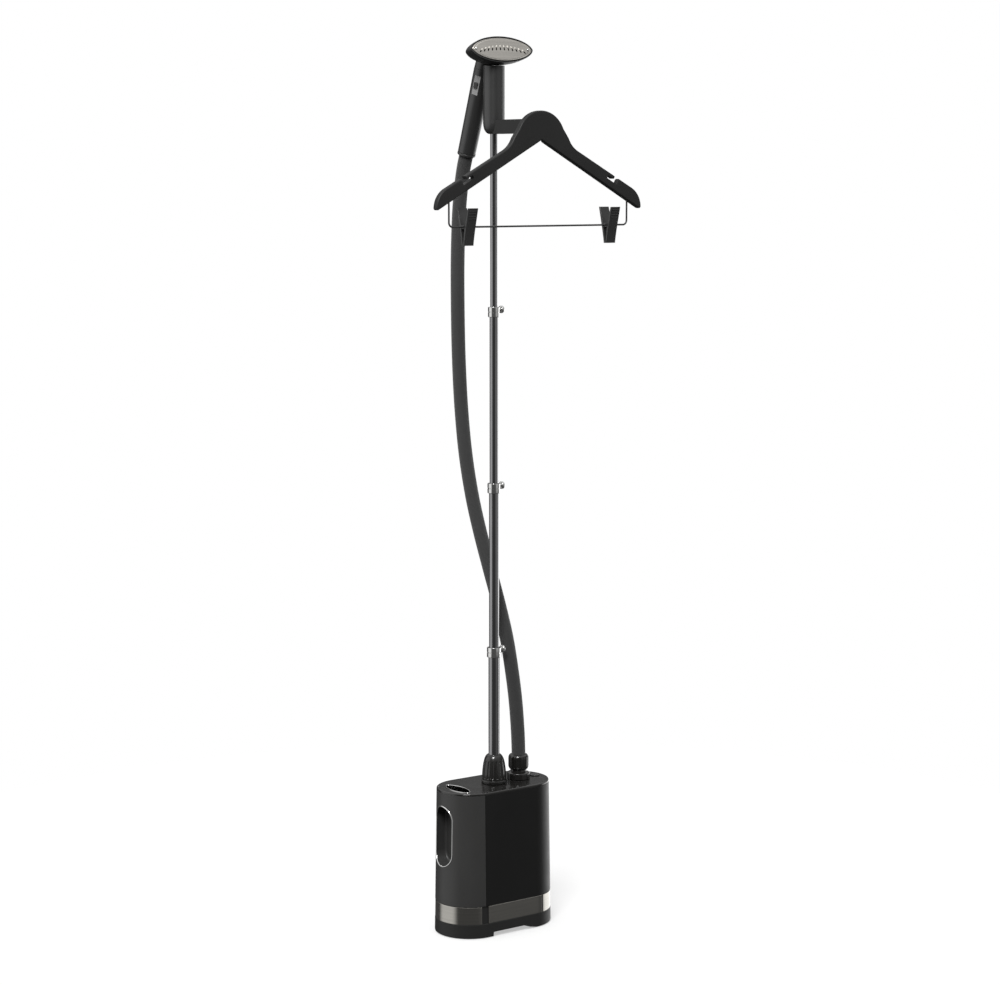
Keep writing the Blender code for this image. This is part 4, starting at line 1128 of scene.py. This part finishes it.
def almond(half_length, half_width, point=1.35):
    """A rule that turns a round shape of radius 1 into a pointed oval; less than 1 is an inset in metres."""

    def rule(co):
        radius, turn = math.hypot(co.x, co.y), math.atan2(co.y, co.x)
        rise = math.copysign(abs(math.sin(turn)) ** point, math.sin(turn))
        inset = 1.0 - radius
        return Vector(
            (math.cos(turn) * (half_length - inset * 1.8), rise * (half_width - inset), co.z)
        )

    return rule


def fill_matrix():
    return Matrix.Translation((FILL_PLACE.x, FILL_PLACE.y, 0.0)) @ Matrix.Rotation(math.pi / 2, 4, "Z")


def make_tank(sizes):
    """The water tank: hollow, with a hand slot in its round end and the filling opening in its top."""
    body = base_solid("tank_body", wall_profile(SHELL_LOW, SHELL_HIGH, 0.0))
    sliced(body, 0, SEAM_X - GAP / 2, 1)
    soften(body, sizes.seam_round, 3, 60.0)
    room = base_solid("room", wall_profile(SHELL_LOW + BASE_WALL, SHELL_HIGH - BASE_WALL, BASE_WALL), 96)
    sliced(room, 0, SEAM_X - BASE_WALL, 1)
    end_x = BASE_CENTRE.x - BASE_STRAIGHT - BASE_R_FLOOR
    middle = Vector((end_x, POLE_Y, (SLOT_LOW + SLOT_HIGH) / 2))
    height = SLOT_HIGH - SLOT_LOW
    wall_size = (2 * SLOT_DEPTH + 0.004, 2 * SLOT_HALF_WIDTH + 0.005, height + 0.005)
    carve(room, box("slot_wall", wall_size, middle))
    carve(body, room)
    slot = lying_drum("slot", SLOT_HALF_WIDTH, 2 * SLOT_DEPTH, (0, 0, 0), 96)
    pushed_apart(slot, 2, height / 2 - SLOT_HALF_WIDTH)
    soften(slot, 0.004, 4, 60.0)
    carve(body, settle(slot, Matrix.Translation(middle)))
    outlet = Vector((SEAM_X, POLE_Y, (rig.box("tank_spout")[0].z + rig.box("tank_spout")[1].z) / 2))
    carve(body, lying_drum("outlet", 0.0034, 0.012, outlet))
    lid = base_solid("tank_top", cover_profile())
    sliced(lid, 0, SEAM_X - GAP / 2, 1)
    for piece in (body, lid):
        low, high = BASE_HEIGHT - 0.014, BASE_HEIGHT + 0.006
        hole = turned("filling_hole", [(1.0, low), (1.0, high)], 96)
        reshaped(hole, almond(FILL_HALF_LENGTH + GAP, FILL_HALF_WIDTH + GAP))
        carve(piece, settle(hole, fill_matrix()))
    finished(body, "water_tank", look="tank_body")
    finished(lid, "tank_lid")


def make_fill_rim():
    """A bright lip round the filling opening, turned over at its top edge."""
    low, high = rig.box("fill_rim")[0].z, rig.box("fill_rim")[1].z
    profile = [(1.0, low), (1.0, high - 0.0005), (1.0 - 0.0003, high - 0.0001), (1.0 - 0.0007, high)]
    profile += [(1.0 - 0.0011, high - 0.0002), (1.0 - 0.0014, high - 0.0007), (1.0 - 0.0014, low)]
    rim = turned("filling_rim", profile, 96, tube=True)
    reshaped(rim, almond(FILL_HALF_LENGTH, FILL_HALF_WIDTH))
    finished(settle(rim, fill_matrix()), "fill_rim", angle=50.0)


def make_slot_trim():
    """A bright wire let into the hand slot's mouth, bent round the tank's end."""
    points, half = [], (SLOT_HIGH - SLOT_LOW) / 2 - SLOT_HALF_WIDTH
    width = SLOT_HALF_WIDTH - 0.0009
    steps = 64
    for step in range(steps):
        turn = 2 * math.pi * (step + 0.5) / steps
        y = width * math.cos(turn)
        rise = width * math.sin(turn) + math.copysign(half, math.sin(turn))
        z = (SLOT_LOW + SLOT_HIGH) / 2 + rise
        reach = math.sqrt(base_radius(z) ** 2 - y * y)
        points.append((BASE_CENTRE.x - BASE_STRAIGHT - reach + 0.0006, POLE_Y + y, z))
    finished(wire("slot_trim", points, 0.0014, closed=True), "grip_trim", angle=60.0)


def make_button():
    """The power button: a shallow dish inside a raised ring."""
    low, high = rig.box("power_button")
    middle, radius = (low + high) / 2, (high.x - low.x) / 2
    top = high.z
    profile = [(radius, low.z), (radius, top - 0.0012)]
    profile += tip(radius - 0.0008, top - 0.0008, 0.0008, 0.0, 90.0, 5)
    profile += [(radius - 0.0018, top - 0.0001), (radius - 0.0026, top - 0.0007), (0.0010, top - 0.0009)]
    button = settle(turned("power_switch", profile, 72), Matrix.Translation((middle.x, middle.y, 0)))
    finished(button, "power_button")


def make_inside():
    """The works behind the casing keep the frame's shapes, with merged and smooth-shaded surfaces."""
    names = ("boiler", "steam_pipe", "valve_seat", "water_pump", "control_board", "suction_hose")
    names += ("feed_hose", "mains_gland", "pole_sleeve", "tank_spout", "steam_duct")
    names += ("clip_spring_left", "clip_spring_right")
    for name in names:
        finished(merged_copy(name), name, angle=40.0)


# ---------------------------------------------------------------- pole and hose fittings
def make_collar(sizes):
    """The bulbous collar that the pole stands in, fluted all round."""
    low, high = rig.box("pole_collar")[0].z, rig.box("pole_collar")[1].z
    bore = TUBE_RADII[0] + GAP
    bulb = [(0.0222, 0.2762), (0.0224, 0.2800), (0.0222, 0.2870), (0.0217, 0.2940), (0.0209, 0.3010)]
    bulb += [(0.0199, 0.3075), (0.0186, 0.3130), (0.0171, 0.3175), (0.0154, 0.3207), (0.0138, 0.3226)]
    profile = [(bore, low), (0.0236, low), (0.0236, 0.2754), (0.0232, 0.2760)] + bulb
    profile += [(0.0126, high - 0.0003), (bore, high)]
    collar = turned("pole_socket", profile, 4 * sizes.flutes, tube=True)
    flutes = columns(sizes.flutes, 4, (0, 1), 0.2800, 0.3130, 0.0150)
    sunk(collar, flutes, 0.0010, sizes.flute_depth)
    soften(collar, 0.0004, 2, 25.0)
    finished(settle(collar, Matrix.Translation(POLE_PLACE)), "pole_collar", angle=60.0)


def make_coupling(sizes):
    """A stepped flange on the casing and a ribbed union nut over the hose's end."""
    low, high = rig.box("hose_flange")[0].z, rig.box("hose_flange")[1].z
    profile = [(0.0065, low), (0.0214, low), (0.0214, low + 0.0090), (0.0211, low + 0.0104)]
    profile += [(0.0204, low + 0.0112), (0.0170, low + 0.0128), (0.0152, low + 0.0138)]
    profile += [(0.0150, high), (0.0065, high)]
    flange = turned("hose_seat", profile, 72, tube=True)
    finished(settle(flange, Matrix.Translation(HOSE_PLACE)), "hose_flange", angle=40.0)
    bore = 0.0130 + GAP
    profile = [(0.0085, NUT_LOW), (0.0158, NUT_LOW), (0.0172, NUT_LOW + 0.0012), (0.0186, NUT_LOW + 0.0042)]
    profile += [(0.0190, NUT_LOW + 0.0070), (0.0190, NUT_HIGH - 0.0075), (0.0188, NUT_HIGH - 0.0052)]
    profile += [(0.0182, NUT_HIGH - 0.0030), (0.0172, NUT_HIGH - 0.0012), (0.0158, NUT_HIGH)]
    profile += [(bore, NUT_HIGH), (bore, 0.2922), (0.0085, 0.2922)]
    nut = turned("union_nut", profile, 4 * sizes.ribs, tube=True)
    hollows = columns(sizes.ribs, 4, (0, 1), NUT_LOW + 0.0042, NUT_HIGH - 0.0030, 0.0170)
    sunk(nut, hollows, 0.0004, sizes.rib_depth)
    finished(settle(nut, Matrix.Translation(HOSE_PLACE)), "hose_nut", angle=45.0)


def make_tubes():
    for index, outer in enumerate(TUBE_RADII):
        node = f"pole_tube_{index + 1}"
        low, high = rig.box(node)[0].z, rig.box(node)[1].z
        inner, edge = outer - TUBE_WALL, 0.0002
        profile = [(inner, low), (outer - edge, low), (outer, low + edge), (outer, high - edge)]
        profile += [(outer - edge, high), (inner, high)]
        tube = turned(f"tube_{index + 1}", profile, 72, tube=True)
        finished(settle(tube, Matrix.Translation(POLE_PLACE)), node, angle=50.0)


def make_clamp(index, knurls):
    """A split ring on a tube's upper end, with a boss and the knurled screw that grips the next tube."""
    node = f"clamp_collar_{index + 1}"
    low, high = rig.box(node)[0].z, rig.box(node)[1].z
    lower, upper = TUBE_RADII[index] + GAP, TUBE_RADII[index + 1] + GAP
    outer = TUBE_RADII[index] + CLAMP_WALL
    middle = (low + high) / 2
    profile = [(lower, low), (outer - 0.0010, low), (outer - 0.0003, low + 0.0004), (outer, low + 0.0012)]
    profile += [(outer, middle - 0.0010), (outer - 0.0006, middle - 0.0006), (outer - 0.0006, middle + 0.0006)]
    profile += [(outer, middle + 0.0010), (outer, high - 0.0012), (outer - 0.0003, high - 0.0004)]
    profile += [(outer - 0.0010, high), (upper, high), (upper, middle + GAP), (lower, middle + GAP)]
    ring = turned(f"clamp_ring_{index + 1}", profile, 64, tube=True)
    settle(ring, Matrix.Translation(POLE_PLACE))
    screw_z = middle + 0.0042
    boss = lying_drum("boss", 0.0040, 0.0030, (outer + 0.0008, POLE_Y, screw_z))
    soften(boss, 0.0004, 2, 60.0)
    carve(ring, boss, "UNION")
    carve(ring, lying_drum("hole", 0.0020, 0.014, (outer - 0.001, POLE_Y, screw_z)))
    split = box("split", (0.010, 0.0008, 0.03), (-outer, POLE_Y, middle))
    carve(ring, split)
    finished(ring, node)
    reach = outer + 0.0023 - TUBE_RADII[index + 1] - GAP
    head = [(0.0017, -reach), (0.0017, 0.0003), (0.0052, 0.0003), (0.0064, 0.0009), (0.0068, 0.0016)]
    head += [(0.0068, 0.0046), (0.0064, 0.0055), (0.0056, 0.0062), (0.0048, 0.0062), (0.0040, 0.0050)]
    head += [(0.0010, 0.0050)]
    screw = turned(f"clamp_screw_{index + 1}", head, 4 * knurls)
    sunk(screw, columns(knurls, 4, (0, 1), 0.0016, 0.0046, 0.0060), 0.0001, 0.0004)
    place = Matrix.Translation((outer + 0.0023, POLE_Y, screw_z)) @ Matrix.Rotation(math.pi / 2, 4, "Y")
    finished(settle(screw, place), f"thumb_screw_{index + 1}", angle=40.0)


# ---------------------------------------------------------------- holder and arm
def make_holder():
    """An upright cradle: drawn in at its foot, with a channel in its back in which the handle nests."""
    edge, radius = 0.0012, HOLDER_RADIUS
    foot = [(radius - 0.0104, 0.0), (radius - 0.0090, 0.0004), (radius - 0.0066, 0.0018), (radius - 0.0046, 0.0038)]
    foot += [(radius - 0.0028, 0.0066), (radius - 0.0015, 0.0100), (radius - 0.0005, 0.0145), (radius, 0.0195)]
    profile = [(r, HOLDER_LOW + rise) for r, rise in foot]
    profile += tip(radius - edge, HOLDER_HIGH + 0.0006 - edge, edge, 0.0, 90.0, 5)
    holder = settle(turned("cradle", profile, 96), Matrix.Translation(POLE_PLACE))
    bore_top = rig.box("pole_tube_4")[1].z + GAP
    carve(holder, drum("bore", TUBE_RADII[3] + GAP, HOLDER_LOW - 0.02, bore_top, POLE_PLACE))
    grown = [(0.0176, 0.0), (HANDLE_R_HIGH + 0.0014, HANDLE_LENGTH + 0.02)]
    carve(holder, settle(turned("channel", grown, 96), HANDLE))
    finished(holder, "handset_holder")
    finished(merged_copy("hanger_arm", 0.0009), "hanger_arm", look="hanger_finish", angle=40.0)


# ---------------------------------------------------------------- handset
def make_handle():
    """A slim tapered grip with a pocket for the steam control, and a cuff where the hose goes in."""
    foot = tip(0.0155, 0.0009, 0.0009, -90.0, 0.0, 4)
    swell = [(0.0166, 0.0300), (0.0168, 0.0580), (0.0170, 0.0900), (0.0173, 0.1250)]
    top = tip(HANDLE_R_HIGH - 0.0010, HANDLE_LENGTH - 0.0010, 0.0010, 0.0, 90.0, 4)
    profile = foot + swell + top + [(HANDLE_BORE, HANDLE_LENGTH), (HANDLE_BORE, 0.0)]
    handle = settle(turned("grip", profile, 96, tube=True), HANDLE)
    pocket = box("pocket", (0.006, 0.0130, 0.0360), (0, 0, 0))
    soften(pocket, 0.0010, 3, 60.0)
    carve(handle, settle(pocket, SLIDER @ Matrix.Translation((0.0183, 0.0, SLIDER_HEIGHT))))
    finished(handle, "handle_shell")
    cuff = [(HANDLE_BORE, -0.0050), (0.0156, -0.0050), (0.0163, -0.0046), (0.0167, -0.0038)]
    cuff += [(0.0167, -0.0016), (0.0165, -0.0008), (0.0160, -GAP), (HANDLE_BORE, -GAP)]
    finished(settle(turned("grip_cuff", cuff, 72, tube=True), HANDLE), "hose_cuff", angle=50.0)


def make_control():
    """The track in the handle's side and the ribbed slider that runs on it."""
    track = box("control_track", (0.0010, 0.0122, 0.0352), (0, 0, 0))
    soften(track, 0.0003, 2, 60.0)
    settle(track, SLIDER @ Matrix.Translation((0.0161, 0.0, SLIDER_HEIGHT)))
    # Its light grey finish is painted light on the control face.
    finished(track, "slider_plate", look="control_face")
    slider = box("control_slider", (0.0024, 0.0078, 0.0110), (0, 0, 0))
    soften(slider, 0.0008, 3, 60.0)
    for step in range(-2, 3):
        groove = box("groove", (0.0012, 0.0100, 0.0006), (0.0013, 0.0, step * 0.0017))
        carve(slider, groove)
    settle(slider, SLIDER @ Matrix.Translation((0.0181, 0.0, SLIDER_HEIGHT)))
    finished(slider, "steam_slider")


def head_rule(half_length, half_height):
    """A rule that turns a round shape into a pointed oval, a radius of 1 lying on its edge."""

    def rule(co):
        radius, turn = math.hypot(co.x, co.y), math.atan2(co.y, co.x)
        rise = math.copysign(abs(math.sin(turn)) ** HEAD_POINT, math.sin(turn))
        return Vector((half_length * radius * math.cos(turn), half_height * radius * rise, co.z))

    return rule


def make_head():
    """The pointed-oval bowl on its neck; its face is hollowed for the plate."""
    bowl = [(0.30, -0.0364), (0.46, -0.0357), (0.60, -0.0344), (0.72, -0.0325), (0.82, -0.0299)]
    bowl += [(0.895, -0.0265), (0.945, -0.0228), (0.973, -0.0186), (0.990, -0.0138), (0.998, -0.0085)]
    bowl += [(1.00, -0.0040), (1.00, -0.0005), (0.996, 0.0), (0.960, 0.0), (0.955, -0.0004)]
    bowl += [(0.955, -0.0030), (0.91, -0.0030), (0.90, -0.0160), (0.78, -0.0240), (0.40, -0.0285)]
    shell = reshaped(turned("head_bowl", bowl, 128), head_rule(HEAD_HALF_LENGTH, HEAD_HALF_HEIGHT))
    settle(shell, HEAD)
    start_z = HANDLE_LENGTH + GAP
    neck = [(HANDLE_R_HIGH - 0.0004, start_z), (HANDLE_R_HIGH - 0.0004, start_z + 0.0030)]
    neck += [(0.0168, start_z + 0.0120), (0.0150, start_z + 0.0240), (0.0120, start_z + 0.0310)]
    neck += [(0.0090, start_z + 0.0347), (0.0030, start_z + 0.0370)]
    carve(shell, settle(turned("neck", neck, 96), HANDLE), "UNION")
    finished(shell, "head_housing", angle=40.0)


def slot_place(index):
    """Where a steam slot lies on the plate and how far it leans; the row bows upward in the middle."""
    along = 2.0 * index / (SLOT_COUNT - 1) - 1.0
    return Vector((0.0475 * along, 0.0004 - 0.0055 * along * along, 0.0)), 0.80 * along


def make_plate():
    """The brushed plate: a raised field inside a rounded rim, slots with a bead above each, whose pale cream colour is
    a painted highlight on the lip of each slot.
    """
    profile = [(1.0, -0.0026), (1.0, -0.0005), (0.995, -0.0001), (0.985, 0.0003), (0.965, 0.0006)]
    profile += [(0.945, 0.0004), (0.925, 0.0003), (0.905, 0.0007), (0.880, 0.0008)]
    plate = turned("steam_face", profile, 128)
    reshaped(plate, head_rule(PLATE_HALF_LENGTH, PLATE_HALF_HEIGHT))
    highlight_beads = []
    for index in range(SLOT_COUNT):
        place, lean = slot_place(index)
        turn = Matrix.Translation(place) @ Matrix.Rotation(lean, 4, "Z")
        slot = start("cylinder", "slot", vertices=24, radius=0.0013, depth=0.012)
        carve(plate, settle(pushed_apart(slot, 1, 0.0014), turn))
        # Each bead is a real bump; its pale colour is a painted highlight.
        bead = start("uv_sphere", "bead", segments=16, ring_count=10, radius=1.0)
        reach = Matrix.Translation((0.0, 0.0048, 0.0007)) @ Matrix.Diagonal((0.0014, 0.0020, 0.0009, 1.0))
        highlight_beads.append(settle(bead, turn @ reach))
    for side in (-1, 1):
        carve(plate, drum("hole", 0.0013, -0.005, 0.005, Vector((side * 0.0560, 0, 0)), 32))
    finished(settle(plate, HEAD), "steam_plate", angle=40.0)
    # The beads sit in the chrome slot but wear the pale silicone finish: a painted highlight on the slots' lips.
    row = settle(joined("plate_beads", highlight_beads), HEAD)
    finished(row, body=BODY_OF["steam_plate"], slot="chrome", look="silicone", angle=80.0)


def make_rivets():
    for word, side in (("left", -1), ("right", 1)):
        profile = [(0.0010, -0.0026), (0.0010, 0.0010), (0.0022, 0.0011), (0.0023, 0.0015), (0.0020, 0.0020)]
        profile += [(0.0015, 0.0024), (0.0008, 0.0026)]
        rivet = settle(turned(f"face_rivet_{word}", profile, 32), Matrix.Translation((side * 0.0560, 0, 0)))
        finished(settle(rivet, HEAD), f"plate_rivet_{word}", angle=60.0)


# ---------------------------------------------------------------- hanger, bar and clips
def arc(centre, radius, begin, end, count):
    """Points on a round stretch, from one angle in degrees to the other."""
    turns = [math.radians(begin + (end - begin) * step / count) for step in range(count + 1)]
    return [(centre[0] + radius * math.cos(t), centre[1] + radius * math.sin(t)) for t in turns]


def make_hanger():
    """The hanger: a domed neck, two sloping arms with a strap notch each, and a pocket for the arm."""
    right = arc((0.0, 1.4425), 0.0520, 90.0, 24.0, 24)
    right += arc((0.1000, 1.4640), 0.0440, 203.0, 241.4, 12)
    right += arc((0.1822, 1.3260), 0.0392, 61.4, 6.0, 16)
    right += arc((0.2178, 1.3276), 0.0036, -10.0, -118.0, 8)
    left = [(-x, z) for x, z in reversed(right[1:])]
    outline = right + [(0.0, 1.4432)] + left
    upright = Matrix.Translation((0, HANGER_Y, 0)) @ Matrix.Rotation(math.pi / 2, 4, "X")
    body = flat_piece("hanger", outline, HANGER_THICKNESS, 0.0026, upright)
    back = HANGER_Y + HANGER_THICKNESS / 2
    pocket_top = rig.box("hanger_arm")[1].z - 0.003 + GAP
    size = (0.0126, 0.0135, pocket_top - 1.4100)
    carve(body, box("pocket", size, (0.0, back, (pocket_top + 1.4100) / 2)))
    for side in (-1, 1):
        slope = Matrix.Rotation(side * math.radians(29.0), 4, "Y")
        places = (((side * 0.1560, HANGER_Y, 1.3746), (0.0250, 0.03, 0.0060)),)
        places += (((side * 0.1650, HANGER_Y, 1.3765), (0.0110, 0.03, 0.0140)),)
        for place, size in places:
            cutter = box("notch", size, (0, 0, 0), Matrix.Translation(place) @ slope)
            carve(body, cutter)
        hole_place = Vector((side * BAR_HALF_LENGTH, HANGER_Y, 0.0))
        carve(body, drum("hole", BAR_RADIUS + GAP, 1.315, 1.345, hole_place, 32))
    finished(body, "hanger_body", angle=40.0)


def make_bar():
    """The trouser bar: one wire with rounded corners, its ends let into the hanger."""
    corner = 0.0080
    right = [(BAR_HALF_LENGTH, 1.3440), (BAR_HALF_LENGTH, 1.3150)]
    right += arc((BAR_HALF_LENGTH - corner, BAR_Z + corner), corner, 0.0, -90.0, 12)
    left = [(-x, z) for x, z in reversed(right)]
    points = [(x, HANGER_Y, z) for x, z in right + left]
    finished(wire("bar_wire", points, BAR_RADIUS), "trouser_bar", look="satin_black", angle=50.0)


def make_jaw(word, middle, side, ears):
    """Half a clip: a jaw that is drawn in at the bar, two ears round the bar and ribs on its finger pad."""
    outline = [(side * 0.0004, -0.0320), (side * 0.0040, -0.0320), (side * 0.0052, -0.0240)]
    outline += [(side * 0.0085, -0.0080), (side * 0.0133, 0.0110), (side * 0.0185, 0.0320)]
    outline += [(side * 0.0150, 0.0320), (side * 0.0098, 0.0140), (side * 0.0048, -0.0020)]
    outline += [(side * 0.0014, -0.0250)]
    if side < 0:
        outline.reverse()
    turn = Matrix.Rotation(math.pi / 2, 4, "Z") @ Matrix.Rotation(math.pi / 2, 4, "X")
    node = f"clip_{'back' if side > 0 else 'front'}_{word}"
    jaw = flat_piece(f"jaw_{'back' if side > 0 else 'front'}_{word}", outline, CLIP_WIDTH, 0.0006, turn)
    for x in ears:
        ear = box("ear", (0.0024, 0.0100, 0.0070), (x, side * 0.0026, 0.0))
        soften(ear, 0.0006, 2, 60.0)
        carve(jaw, ear, "UNION")
    carve(jaw, lying_drum("bore", BAR_RADIUS + GAP, 0.06, (0, 0, 0), 32))
    for step in range(4):
        z = 0.0135 + step * 0.0045
        y = side * (0.0133 + (z - 0.0110) * 0.0052 / 0.0210)
        rib = lying_drum("rib", 0.0007, CLIP_WIDTH - 0.0040, (0.0, y, z), 16)
        carve(jaw, rib, "UNION")
    finished(settle(jaw, Matrix.Translation(middle)), node, angle=40.0)


# ---------------------------------------------------------------- operators
class PieceOperator(bpy.types.Operator):
    """Common ground of the operators that add pieces."""

    bl_idname = "steamer.piece"
    bl_label = "Steamer Piece"
    bl_options = {"REGISTER", "UNDO"}

    def execute(self, context):
        self.build(context.scene.steamer_sizes)
        return {"FINISHED"}


class STEAMER_OT_studio(bpy.types.Operator):
    """Set up the camera, the white floor, the room's light and one key light"""

    bl_idname = "steamer.studio"
    bl_label = "Studio"

    def execute(self, context):
        studio = context.scene.steamer_studio
        context.scene.view_settings.view_transform = "Standard"
        make_camera(studio.lens)
        make_floor(studio.floor_size)
        make_world(studio)
        make_light("key", studio.key_power, 1.6, (-2.6, -2.4, 4.2), (0.0, 0.0, 0.7))
        return {"FINISHED"}


class STEAMER_OT_finishes(bpy.types.Operator):
    """Make one material for each finish"""

    bl_idname = "steamer.finishes"
    bl_label = "Finishes"

    def execute(self, context):
        make_finishes(context.scene.steamer_colours)
        return {"FINISHED"}


class STEAMER_OT_hose(PieceOperator):
    """Add the sleeved steam hose"""

    bl_idname = "steamer.hose"
    bl_label = "Steam Hose"

    def build(self, sizes):
        make_hose(sizes)


class STEAMER_OT_foot(PieceOperator):
    """Add the foot with its pads and polished bands"""

    bl_idname = "steamer.foot"
    bl_label = "Foot and Bands"

    def build(self, sizes):
        make_tray()
        make_pads()
        make_bands()


class STEAMER_OT_casing(PieceOperator):
    """Add the casing, its glossy top and the power button"""

    bl_idname = "steamer.casing"
    bl_label = "Casing"

    def build(self, sizes):
        make_casing(sizes)
        make_button()


class STEAMER_OT_tank(PieceOperator):
    """Add the water tank with its hand slot, filling opening and trims"""

    bl_idname = "steamer.tank"
    bl_label = "Water Tank"

    def build(self, sizes):
        make_tank(sizes)
        make_fill_rim()
        make_slot_trim()


class STEAMER_OT_inside(PieceOperator):
    """Add the works inside the base and the springs of the clips"""

    bl_idname = "steamer.inside"
    bl_label = "Works Inside"

    def build(self, sizes):
        make_inside()


class STEAMER_OT_pole(PieceOperator):
    """Add the telescoping pole with its collar and clamps"""

    bl_idname = "steamer.pole"
    bl_label = "Pole"

    def build(self, sizes):
        make_collar(sizes)
        make_tubes()
        for index in range(CLAMP_COUNT):
            make_clamp(index, sizes.knurls)


class STEAMER_OT_coupling(PieceOperator):
    """Add the hose's flange and union nut"""

    bl_idname = "steamer.coupling"
    bl_label = "Hose Coupling"

    def build(self, sizes):
        make_coupling(sizes)


class STEAMER_OT_holder(PieceOperator):
    """Add the handset holder and the hanger's arm"""

    bl_idname = "steamer.holder"
    bl_label = "Holder and Arm"

    def build(self, sizes):
        make_holder()


class STEAMER_OT_handset(PieceOperator):
    """Add the handle, its cuff and steam control, and the steam head with its plate"""

    bl_idname = "steamer.handset"
    bl_label = "Handset"

    def build(self, sizes):
        make_handle()
        make_control()
        make_head()
        make_plate()
        make_rivets()


class STEAMER_OT_hanger(PieceOperator):
    """Add the clothes hanger, its trouser bar and the two clips"""

    bl_idname = "steamer.hanger"
    bl_label = "Hanger"

    def build(self, sizes):
        make_hanger()
        make_bar()
        for word, side in (("left", -1), ("right", 1)):
            middle = Vector((side * CLIP_X, HANGER_Y, BAR_Z))
            make_jaw(word, middle, 1, (-0.0078, 0.0078))
            make_jaw(word, middle, -1, (-0.0050, 0.0050))


STEPS = (
    STEAMER_OT_studio,
    STEAMER_OT_finishes,
    STEAMER_OT_hose,
    STEAMER_OT_foot,
    STEAMER_OT_casing,
    STEAMER_OT_tank,
    STEAMER_OT_inside,
    STEAMER_OT_pole,
    STEAMER_OT_coupling,
    STEAMER_OT_holder,
    STEAMER_OT_handset,
    STEAMER_OT_hanger,
)


class STEAMER_PT_panel(bpy.types.Panel):
    """Lists the steps in the order in which they are run"""

    bl_label = "Garment Steamer"
    bl_idname = "STEAMER_PT_panel"
    bl_space_type = "VIEW_3D"
    bl_region_type = "UI"
    bl_category = "Steamer"

    def draw(self, context):
        for step in STEPS:
            self.layout.operator(step.bl_idname)
        for group in (context.scene.steamer_sizes, context.scene.steamer_colours):
            column = self.layout.column()
            for name in group.__annotations__:
                column.prop(group, name)


GROUPS = (SteamerColours, SteamerSizes, SteamerStudio)
CLASSES = (*GROUPS, *STEPS, STEAMER_PT_panel)


def register():
    for group in CLASSES:
        bpy.utils.register_class(group)
    bpy.types.Scene.steamer_colours = PointerProperty(type=SteamerColours)
    bpy.types.Scene.steamer_sizes = PointerProperty(type=SteamerSizes)
    bpy.types.Scene.steamer_studio = PointerProperty(type=SteamerStudio)


def unregister():
    del bpy.types.Scene.steamer_studio
    del bpy.types.Scene.steamer_sizes
    del bpy.types.Scene.steamer_colours
    for group in reversed(CLASSES):
        bpy.utils.unregister_class(group)


def main():
    register()
    for step in STEPS:
        family, name = step.bl_idname.split(".")
        getattr(getattr(bpy.ops, family), name)()
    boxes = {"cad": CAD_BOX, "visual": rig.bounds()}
    plain = {name: [list(corner) for corner in corners] for name, corners in boxes.items()}
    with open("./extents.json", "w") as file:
        json.dump(plain, file)


if __name__ == "__main__":
    main()
